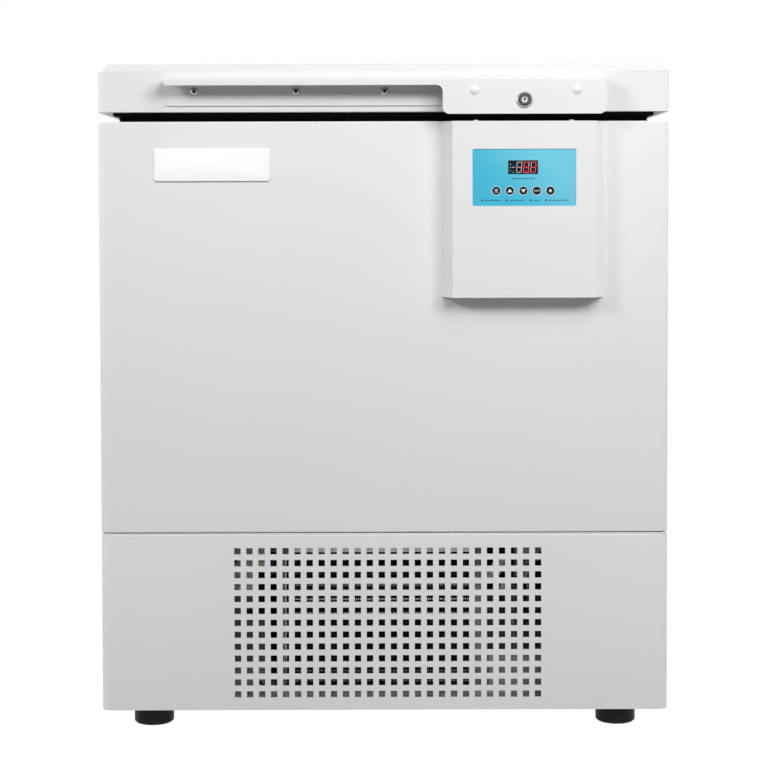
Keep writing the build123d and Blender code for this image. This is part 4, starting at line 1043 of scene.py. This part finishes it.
@dataclass
class DomedScrews(Trim):
    """Small domed screws in the housing's flanges and round the rear covers."""

    head: float = 3.6 * MM
    height: float = 1.9 * MM
    edge: float = 0.4 * MM
    flange_reach: float = 58.7 * MM
    flange_share: float = 0.42
    vent_inset: Span = (22 * MM, 18 * MM)
    panel_inset: Span = (19 * MM, 25 * MM)
    panel_rows: int = 4

    def head_rings(self, x: float, y: float, z: float, up: tuple[float, float, float]) -> np.ndarray:
        """Rings of one domed head about the point, rising along up."""
        rings = raised(circle_outline(self.head, 20), (0.0, 0.0), dome(self.height, self.edge), 0.0)
        turn = Vector((0, -1, 0)).rotation_difference(Vector(up)).to_matrix()
        return rings @ np.array(turn).T + np.array([x, y, z])

    def build(self) -> None:
        """Builds the housing's four screws and the rear covers' screws."""
        low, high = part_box("control_housing")
        centre = (low.x + high.x) / 2
        depth = low.y + (high.y - low.y) * self.flange_share
        shell = Shell()
        for side in (-1, 1):
            for z, way in ((high.z, 1), (low.z, -1)):
                shell.skin(self.head_rings(centre + side * self.flange_reach, depth, z, (0, 0, way)))
        self.add(shell, "housing_screws", CAP_WHITE, "steel")
        low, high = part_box("rear_vent_panel")
        across, upward = self.vent_inset
        back = Shell()
        for x in (low.x + across, high.x - across):
            for z in (low.z + upward, high.z - upward):
                back.skin(self.head_rings(x, high.y, z, (0, 1, 0)))
        low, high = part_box("upper_wrapper")
        across, upward = self.panel_inset
        for x in (low.x + across, high.x - across):
            for z in np.linspace(low.z + upward, high.z - upward, self.panel_rows):
                back.skin(self.head_rings(x, high.y, float(z), (0, 1, 0)))
        self.add(back, "rear_screws", ZINC_STEEL, "steel")


@dataclass
class HingeScrews(Trim):
    """Domed screws in the hinge leaves."""

    head: float = 4.2 * MM
    height: float = 0.9 * MM
    spread: float = 19.0 * MM
    leaf: float = 2.5 * MM
    leaf_inset: float = 30 * MM
    cabinet_shares: Span = (0.16, 0.45)
    lid_shares: Span = (0.5, 0.85)

    def build(self) -> None:
        """Builds four screws in each leaf, on the body that the leaf belongs to."""
        plans = (("cabinet_hinge_leaves", Body.CABINET, self.cabinet_shares),
                 ("lid_hinge_leaves", Body.LID, self.lid_shares))
        screws = DomedScrews(self.paints, self.head, self.height)
        for node, body, shares in plans:
            low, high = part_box(node)
            plate_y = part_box("rear_panel")[1].y + SHEET_GAUGE + self.leaf
            shell = Shell()
            for centre in (low.x + self.leaf_inset, high.x - self.leaf_inset):
                for share in shares:
                    z = low.z + (high.z - low.z) * share
                    for side in (-1, 1):
                        shell.skin(screws.head_rings(centre + side * self.spread, plate_y, z, (0, 1, 0)))
            self.add(shell, f"{body.value}_hinge_screws", SCREW_STEEL, "steel", body.value)


@dataclass
class BoxFacing(Trim):
    """Green upper sheet, pale lips painted bright as highlights, dull middle, grey foot and flat patches of
    painted shade on the electrical box.

    The painted shade patches are outlines in millimetres, across from the box's right edge and up from the
    ground.
    """

    sheet: float = 0.8 * MM
    lip: float = 1.2 * MM
    left: float = 2 * MM
    margin: float = 0.5 * MM
    seam_rise: float = 139.5 * MM
    upper_gap: float = 1 * MM
    middle_span: Span = (42 * MM, 5 * MM)
    foot_span: Span = (1 * MM, 41 * MM)
    lip_levels: tuple[float, ...] = (1.4 * MM, -1.8 * MM, -4.6 * MM)
    lip_height: float = 1.1 * MM
    lip_end: float = 10.5 * MM
    shade_patches: tuple[tuple[Span, ...], ...] = (
        ((-10, 133), (-0.6, 129), (-0.6, 186), (-10, 186)),
        ((-26, 137), (-14, 137), (-18, 127), (-22, 127)),
        ((-10, 44), (-7, 44), (-0.6, 36), (-4, 36)),
        ((-42, 201), (-35, 201), (-42, 193)),
    )

    def build(self) -> None:
        """Builds the five pieces of the facing."""
        low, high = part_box("electrical_box")
        x = (low.x + self.left, high.x - self.margin)
        seam = low.z + self.seam_rise
        spans = ((seam + self.upper_gap, high.z - self.margin),
                 (low.z + self.middle_span[0], seam - self.middle_span[1]),
                 (low.z + self.foot_span[0], low.z + self.foot_span[1]))
        upper, dull, foot = (Shell().skin(flat_plate(x, span, low.y, self.sheet)) for span in spans)
        bright, gap = Shell(), Shell()
        # Lips painted bright as highlights.
        for rise in self.lip_levels:
            level = seam + rise
            edges = (x[0], high.x - self.lip_end)
            bright.skin(flat_plate(edges, (level, level + self.lip_height), low.y, self.lip))
        # Flat patches of painted shade.
        for shade_patch in self.shade_patches:
            outline = [(high.x / MM + across, upward) for across, upward in shade_patch]
            gap.skin(cut_sheet(outline, low.y - self.sheet, self.sheet))
        self.add(upper, "box_upper_sheet", GREEN_ZINC, "galvanised")
        self.add(dull, "box_middle_sheet", OLIVE_SHEET, "galvanised")
        self.add(foot, "box_foot_sheet", FOOT_ZINC, "galvanised")
        self.add(bright, "box_lip_highlights", EDGE_HIGHLIGHT, "galvanised")
        self.add(gap, "box_shade_patches", GAP_SHADE, "galvanised")


@dataclass
class CoilTrim(Trim):
    """Painted highlight and painted shade strips, end sheets and tube collars painted as glints, of the
    condenser.

    Strips are given in millimetres from the condenser's left or right edge; the dark ones are painted shade
    and the bright ones painted highlights.
    Collars are painted glints on the tube runs, given as level and height in millimetres, and whether the
    glint is faint (dim).
    """

    sheet: float = 0.8 * MM
    inset: float = 2 * MM
    lip_drop: float = 7.2 * MM
    lip_top: float = 0.3 * MM
    shade_gaps: Span = (0.5 * MM, 0.4 * MM)
    # Strip kinds: dark is painted shade, bright is painted highlight.
    left_strips: tuple[tuple[str, float, float], ...] = (
        ("sheet", 0.4, 3.5), ("dark", 3.7, 4.2), ("bright", 4.4, 5.8), ("dark", 6.0, 11.4))
    right_strips: tuple[tuple[str, float, float], ...] = (
        ("dark", -11.6, -9.4), ("sheet", -9.2, -6.6), ("bright", -6.4, -5.7), ("sheet", -5.5, -0.4))
    ear_overlap: float = 1.5 * MM
    ear_top: float = 0.5 * MM
    left_ear: Span = (0.4, 9.4)
    right_ear: Span = (-9.2, -0.4)
    fins: int = 89
    fin: float = 0.4 * MM
    collar_share: float = 0.32
    collar_depth: float = 1.6 * MM
    collars: tuple[tuple[float, float, bool], ...] = (
        (167.2, 1.6, True), (149.0, 2.0, False), (130.8, 1.8, False),
        (113.2, 1.2, True), (56.0, 1.4, True), (43.0, 1.6, False))

    def edges(self) -> None:
        """Builds the top lip painted bright as a highlight, the end sheets, and the painted shade strips
        below the lip and beside the end sheets.
        """
        fins_low, fins_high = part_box("condenser_fins")
        shroud_low, shroud_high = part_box("fan_shroud")
        sides_low, sides_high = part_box("condenser_side_plates")
        shells = {"bright": Shell(), "dark": Shell(), "sheet": Shell()}
        across = (fins_low.x + self.inset, fins_high.x - self.inset)
        lip_low = shroud_high.z - self.lip_drop
        lip = (lip_low, shroud_high.z - self.lip_top)
        shade = (fins_high.z + self.shade_gaps[0], lip_low - self.shade_gaps[1])
        # Top lip painted bright as a highlight, with a painted shade strip below it.
        shells["bright"].skin(flat_plate(across, lip, shroud_low.y, self.sheet))
        shells["dark"].skin(flat_plate(across, shade, shroud_low.y, self.sheet))
        rows = (sides_low.z + self.inset, sides_high.z - self.inset)
        ears = (sides_high.z - self.ear_overlap, shroud_high.z - self.ear_top)
        left, right = sides_low.x / MM, sides_high.x / MM
        strips = [(kind, left + a, left + b, rows) for kind, a, b in self.left_strips]
        strips += [(kind, right + a, right + b, rows) for kind, a, b in self.right_strips]
        strips += [("sheet", side + a, side + b, ears)
                   for side, (a, b) in ((left, self.left_ear), (right, self.right_ear))]
        for kind, start, stop, span in strips:
            shells[kind].skin(flat_plate((start * MM, stop * MM), span, sides_low.y, self.sheet))
        self.add(shells["bright"], "condenser_highlight_edges", EDGE_HIGHLIGHT, "galvanised")
        self.add(shells["dark"], "condenser_shade_strips", GAP_SHADE, "galvanised")
        self.add(shells["sheet"], "condenser_end_sheets", END_ZINC, "galvanised")

    def tube_collars(self) -> None:
        """Builds the collar of each tube run in the gaps between the fins, coloured as painted glints.

        Gap n lies half a pitch to the right of fin n, where the pitch is the fins' whole width less
        one fin, shared between the gaps.
        """
        low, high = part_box("condenser_fins")
        pitch = (high.x - low.x - self.fin) / (self.fins - 1)
        half = self.collar_share * pitch
        bright, dull = Shell(), Shell()
        # Painted glints: bright collars, and faint ones where dim is set.
        for level, height, dim in self.collars:
            rows = (level * MM - height / 2 * MM, level * MM + height / 2 * MM)
            for number in range(self.fins - 1):
                x = low.x + self.fin / 2 + (number + 0.5) * pitch
                plate = flat_plate((x - half, x + half), rows, low.y + self.collar_depth, self.sheet)
                (dull if dim else bright).skin(plate)
        self.add(bright, "fin_collar_glints", COLLAR_GLINT, "galvanised")
        self.add(dull, "fin_collar_faint_glints", COLLAR_FAINT_GLINT, "galvanised")

    def build(self) -> None:
        """Builds the edges and the collars."""
        self.edges()
        self.tube_collars()


@dataclass
class PipeSide(Trim):
    """Guard facing, hanger plates and strap right of the condenser.

    The outlines are in millimetres, across from the middle and up from the ground. Their points
    above the deck stop at it.
    """

    sheet: float = 0.8 * MM
    guard_side: float = 2 * MM
    guard_low: float = 3 * MM
    guard_top: float = 1 * MM
    depth: float = 3 * MM
    hangers: tuple[tuple[Span, ...], ...] = (
        ((141, 202), (147, 202), (147, math.inf), (141, math.inf)),
        ((130.5, 172), (141, 172), (157, 190), (157, 204), (147, 204), (130.5, 186)),
        ((156.5, 158), (161, 158), (161, 204), (156.5, 204)),
        ((147.2, 156), (156.5, 156), (156.5, 170), (150, 168)),
        ((178, 204), (193, 205), (206, 213), (206, math.inf), (178, math.inf)),
    )
    straps: tuple[tuple[Span, ...], ...] = (
        ((178, 192), (206, 200), (206, 203.5), (178, 196)),
        ((178, 172), (190, 186), (190, 192), (178, 180)),
    )

    def build(self) -> None:
        """Builds the facing on the guard's rear wall, the hangers and the strap."""
        low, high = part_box("pipe_guard")
        x = (low.x + self.guard_side, high.x - self.guard_side)
        z = (low.z + self.guard_low, high.z - self.guard_top)
        facing = Shell().skin(flat_plate(x, z, high.y - SHEET_GAUGE, self.sheet))
        self.add(facing, "guard_dull_sheet", OLIVE_SHEET, "galvanised")
        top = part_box("chest_deck")[0].z / MM
        for outlines, name, finish, slot in ((self.hangers, "pipe_hangers", GREEN_ZINC, "galvanised"),
                                             (self.straps, "pipe_straps", CABLE_GREY, "grey_plastic")):
            shell = Shell()
            for points in outlines:
                outline = [(across, min(upward, top)) for across, upward in points]
                shell.skin(cut_sheet(outline, low.y + self.depth, self.sheet))
            self.add(shell, name, finish, slot)


@dataclass
class Wiring(Trim):
    """Loose wires seen through the grille. Cables and leads are given in millimetres."""

    radius: float = 1.7 * MM
    thin_share: float = 0.7
    deck_gap: float = 2 * MM
    cables: tuple[Span, ...] = ((168.5, 1.5), (172.5, -1.5), (187.0, -4.0))
    waves: float = 6.0
    depth: float = 82 * MM
    drift: float = 25 * MM
    lowest: float = 60 * MM
    leads: tuple[Span, ...] = ((213.0, 6.0), (199.0, -5.0))
    tuck: float = 4 * MM
    reach: float = 6 * MM
    stand_off: float = 7 * MM
    bulge: float = 3 * MM

    def build(self) -> None:
        """Builds three cables that drop from the deck and two leads from the box to the condenser."""
        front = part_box("lower_front_cover")[0].y
        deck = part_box("chest_deck")[0].z - self.deck_gap
        shell = Shell()
        t = np.linspace(0, 1, 40)
        for start, sway in self.cables:
            x = start * MM + sway * MM * np.sin(t * self.waves)
            y = front + self.depth + self.drift * t**2
            z = deck - (deck - self.lowest) * t
            shell.skin(tube_rings(np.column_stack([x, y, z]), self.radius))
        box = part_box("electrical_box")[1]
        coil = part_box("condenser_side_plates")[0]
        for level, drop in self.leads:
            x = box.x - self.tuck + (coil.x - box.x + self.reach) * t
            y = coil.y + self.stand_off + self.bulge * np.sin(t * math.pi)
            z = (level - drop * t) * MM
            shell.skin(tube_rings(np.column_stack([x, y, z]), self.thin_share * self.radius))
        self.add(shell, "control_wires", CABLE_GREY, "grey_plastic")


@dataclass
class CoverLinings(Trim):
    """Filter felt behind the rear slots and a white strip in the front seam, a painted highlight of the
    lower cover's top edge.
    """

    corner: float = 0.3 * MM
    felt: float = 2.0 * MM
    felt_gap: float = 0.2 * MM
    felt_span: Span = (-215.0 * MM, 330.0 * MM)
    felt_margin: float = 24.0 * MM
    strip_side: float = 2 * MM
    strip_low: float = 0.1 * MM
    strip_depth: float = 1.0 * MM
    strip_inset: float = 0.15 * MM
    seam_shadow: float = 0.8 * MM

    def build(self) -> None:
        """Builds the felt on the inside of the rear cover and the painted highlight strip in the front
        seam.
        """
        low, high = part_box("rear_vent_panel")
        inner = high.y - SHEET_GAUGE - self.felt - self.felt_gap
        rows = (low.z + self.felt_margin, high.z - self.felt_margin)
        felt = Shell().skin(flat_plate(self.felt_span, rows, inner + self.felt, self.felt, self.corner))
        self.add(felt, "rear_filter_felt", FILTER_BLACK, "black_plastic")
        low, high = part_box("lower_front_cover")
        seam = (high.z + self.strip_low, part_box("upper_wrapper")[0].z - self.seam_shadow)
        across = (low.x + self.strip_side, high.x - self.strip_side)
        back = low.y + self.strip_inset + self.strip_depth
        strip = Shell().skin(flat_plate(across, seam, back, self.strip_depth, self.corner))
        self.add(strip, "seam_highlight_strip", SEAM_HIGHLIGHT, "white_plastic")


# Camera, light and ground


@dataclass(frozen=True)
class PhotoCamera:
    """Camera that stands where the photograph was taken."""

    focal: float = 86.69
    sensor: float = 36.0
    distance: float = 2292.0 * MM
    side: float = -4.35 * MM
    rim_drop: float = 110.2 * MM
    pitch: float = 2.131
    yaw: float = 0.114
    roll: float = 0.137
    shift: float = -0.13635

    def axes(self) -> Matrix:
        """Camera axes from yaw, pitch and roll as columns: right, up and backwards."""
        pitch, yaw, roll = (math.radians(value) for value in (self.pitch, self.yaw, self.roll))
        ahead = Vector((math.sin(yaw) * math.cos(pitch), math.cos(yaw) * math.cos(pitch), -math.sin(pitch)))
        level = Vector((math.cos(yaw), -math.sin(yaw), 0))
        down = ahead.cross(level)
        right = math.cos(roll) * level + math.sin(roll) * down
        up = math.sin(roll) * level - math.cos(roll) * down
        return Matrix((right, up, -ahead)).transposed()

    def build(self) -> None:
        """Adds the camera and makes it the scene's camera."""
        low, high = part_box("upper_wrapper")
        data = bpy.data.cameras.new("photo_camera")
        data.sensor_width = self.sensor
        data.sensor_fit = "HORIZONTAL"
        data.lens = self.focal
        data.shift_y = self.shift
        data.clip_end = 50.0
        camera = bpy.data.objects.new("photo_camera", data)
        place = Vector((self.side, low.y - self.distance, high.z - self.rim_drop))
        camera.matrix_world = Matrix.Translation(place) @ self.axes().to_4x4()
        bpy.context.scene.collection.objects.link(camera)
        bpy.context.scene.camera = camera


@dataclass(frozen=True)
class SoftBox:
    """One square studio lamp aimed at a point."""

    name: str
    place: tuple[float, float, float]
    target: tuple[float, float, float]
    size: float
    power: float

    def build(self) -> None:
        """Adds the lamp."""
        data = bpy.data.lights.new(self.name, "AREA")
        data.energy = self.power
        data.size = self.size
        lamp = bpy.data.objects.new(self.name, data)
        lamp.location = self.place
        aim = Vector(self.target) - Vector(self.place)
        lamp.rotation_euler = aim.to_track_quat("-Z", "Y").to_euler()
        bpy.context.scene.collection.objects.link(lamp)


@dataclass(frozen=True)
class Studio:
    """White ground, even surroundings and the lamps."""

    ambient: float = 0.045
    reach: float = 12.0
    ground: Colour = (0.22, 0.22, 0.22)
    whiteness: float = 0.68
    glow: float = 1.47

    def seen_white(self, tree: bpy.types.NodeTree) -> bpy.types.NodeSocket:
        """Mask that is 1 for rays from the camera and mirror-like rays."""
        path = tree.nodes.new("ShaderNodeLightPath")
        first = math_node(tree, "MAXIMUM", path.outputs["Is Camera Ray"], path.outputs["Is Glossy Ray"])
        return math_node(tree, "MAXIMUM", first, path.outputs["Is Transmission Ray"])

    def world(self) -> None:
        """Even white world: full white to the camera, softer as light."""
        world = bpy.data.worlds.new("studio")
        bpy.context.scene.world = world
        world.use_nodes = True
        tree = world.node_tree
        sky = tree.nodes["Background"]
        sky.inputs["Color"].default_value = (1, 1, 1, 1)
        mask = self.seen_white(tree)
        spread = math_node(tree, "MULTIPLY", mask, 1 - self.ambient)
        tree.links.new(math_node(tree, "ADD", spread, self.ambient), sky.inputs["Strength"])

    def floor(self) -> None:
        """Pale floor that shades under the object and is white further away."""
        points = np.array([(-1, -1, 0), (1, -1, 0), (1, 1, 0), (-1, 1, 0)], float) * self.reach
        mesh = bpy.data.meshes.new("floor")
        mesh.from_pydata(points.tolist(), [], [(0, 1, 2, 3)])
        plane = bpy.data.objects.new("floor", mesh)
        bpy.context.scene.collection.objects.link(plane)
        material = bpy.data.materials.new("floor_white")
        material.use_nodes = True
        tree = material.node_tree
        shader = tree.nodes["Principled BSDF"]
        shader.inputs["Base Color"].default_value = (*self.ground, 1)
        shader.inputs["Roughness"].default_value = 0.9
        shader.inputs["Specular IOR Level"].default_value = 0.1
        glow = tree.nodes.new("ShaderNodeEmission")
        glow.inputs["Color"].default_value = (1, 1, 1, 1)
        glow.inputs["Strength"].default_value = self.glow
        mix = tree.nodes.new("ShaderNodeMixShader")
        tree.links.new(math_node(tree, "MULTIPLY", self.seen_white(tree), self.whiteness),
                       mix.inputs["Fac"])
        tree.links.new(shader.outputs[0], mix.inputs[1])
        tree.links.new(glow.outputs[0], mix.inputs[2])
        tree.links.new(mix.outputs[0], tree.nodes["Material Output"].inputs["Surface"])
        mesh.materials.append(material)

    def build(self) -> None:
        """Adds the world, the floor and the lamps."""
        self.world()
        self.floor()
        lamps = (
            SoftBox("front_lamp", (0.7, -2.9, 2.05), (0.1, -0.3, 0.5), 0.8, 24.0),
            SoftBox("front_right_lamp", (1.7, -2.2, 1.9), (0.2, -0.3, 0.4), 0.7, 28.0),
            SoftBox("front_left_lamp", (-1.9, -2.0, 1.9), (-0.1, -0.3, 0.4), 0.7, 29.5),
            SoftBox("top_lamp", (0.5, -1.25, 1.7), (0.1, -0.3, 0.75), 0.6, 6.2),
            SoftBox("right_lamp", (2.4, -0.15, 1.1), (0.1, -0.2, 0.5), 1.0, 12.0),
            SoftBox("left_lamp", (-2.4, -0.15, 1.1), (-0.1, -0.2, 0.5), 1.0, 22.0),
            SoftBox("rear_lamp", (-1.2, 2.6, 2.2), (0.0, 0.3, 0.4), 1.6, 95.0),
        )
        for lamp in lamps:
            lamp.build()


def main() -> None:
    """Loads the frame, dresses every node and adds the trim, the camera and the light."""
    logging.basicConfig(level=logging.INFO, format="%(message)s")
    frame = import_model()
    scene = bpy.context.scene
    scene.view_settings.view_transform = "Standard"
    PhotoCamera().build()
    Studio().build()
    paints = Paintbox()
    for node, finish in NODE_FINISHES.items():
        paints.dress(frame, node, finish)
    parts = (FrontBadge, DigitDisplay, KeySigns, PanelMarks, LockFace, ScrewSocketShades, DomedScrews,
             HingeScrews, BoxFacing, CoilTrim, PipeSide, Wiring, CoverLinings)
    for part in parts:
        part(paints).build()


if __name__ == "__main__":
    main()
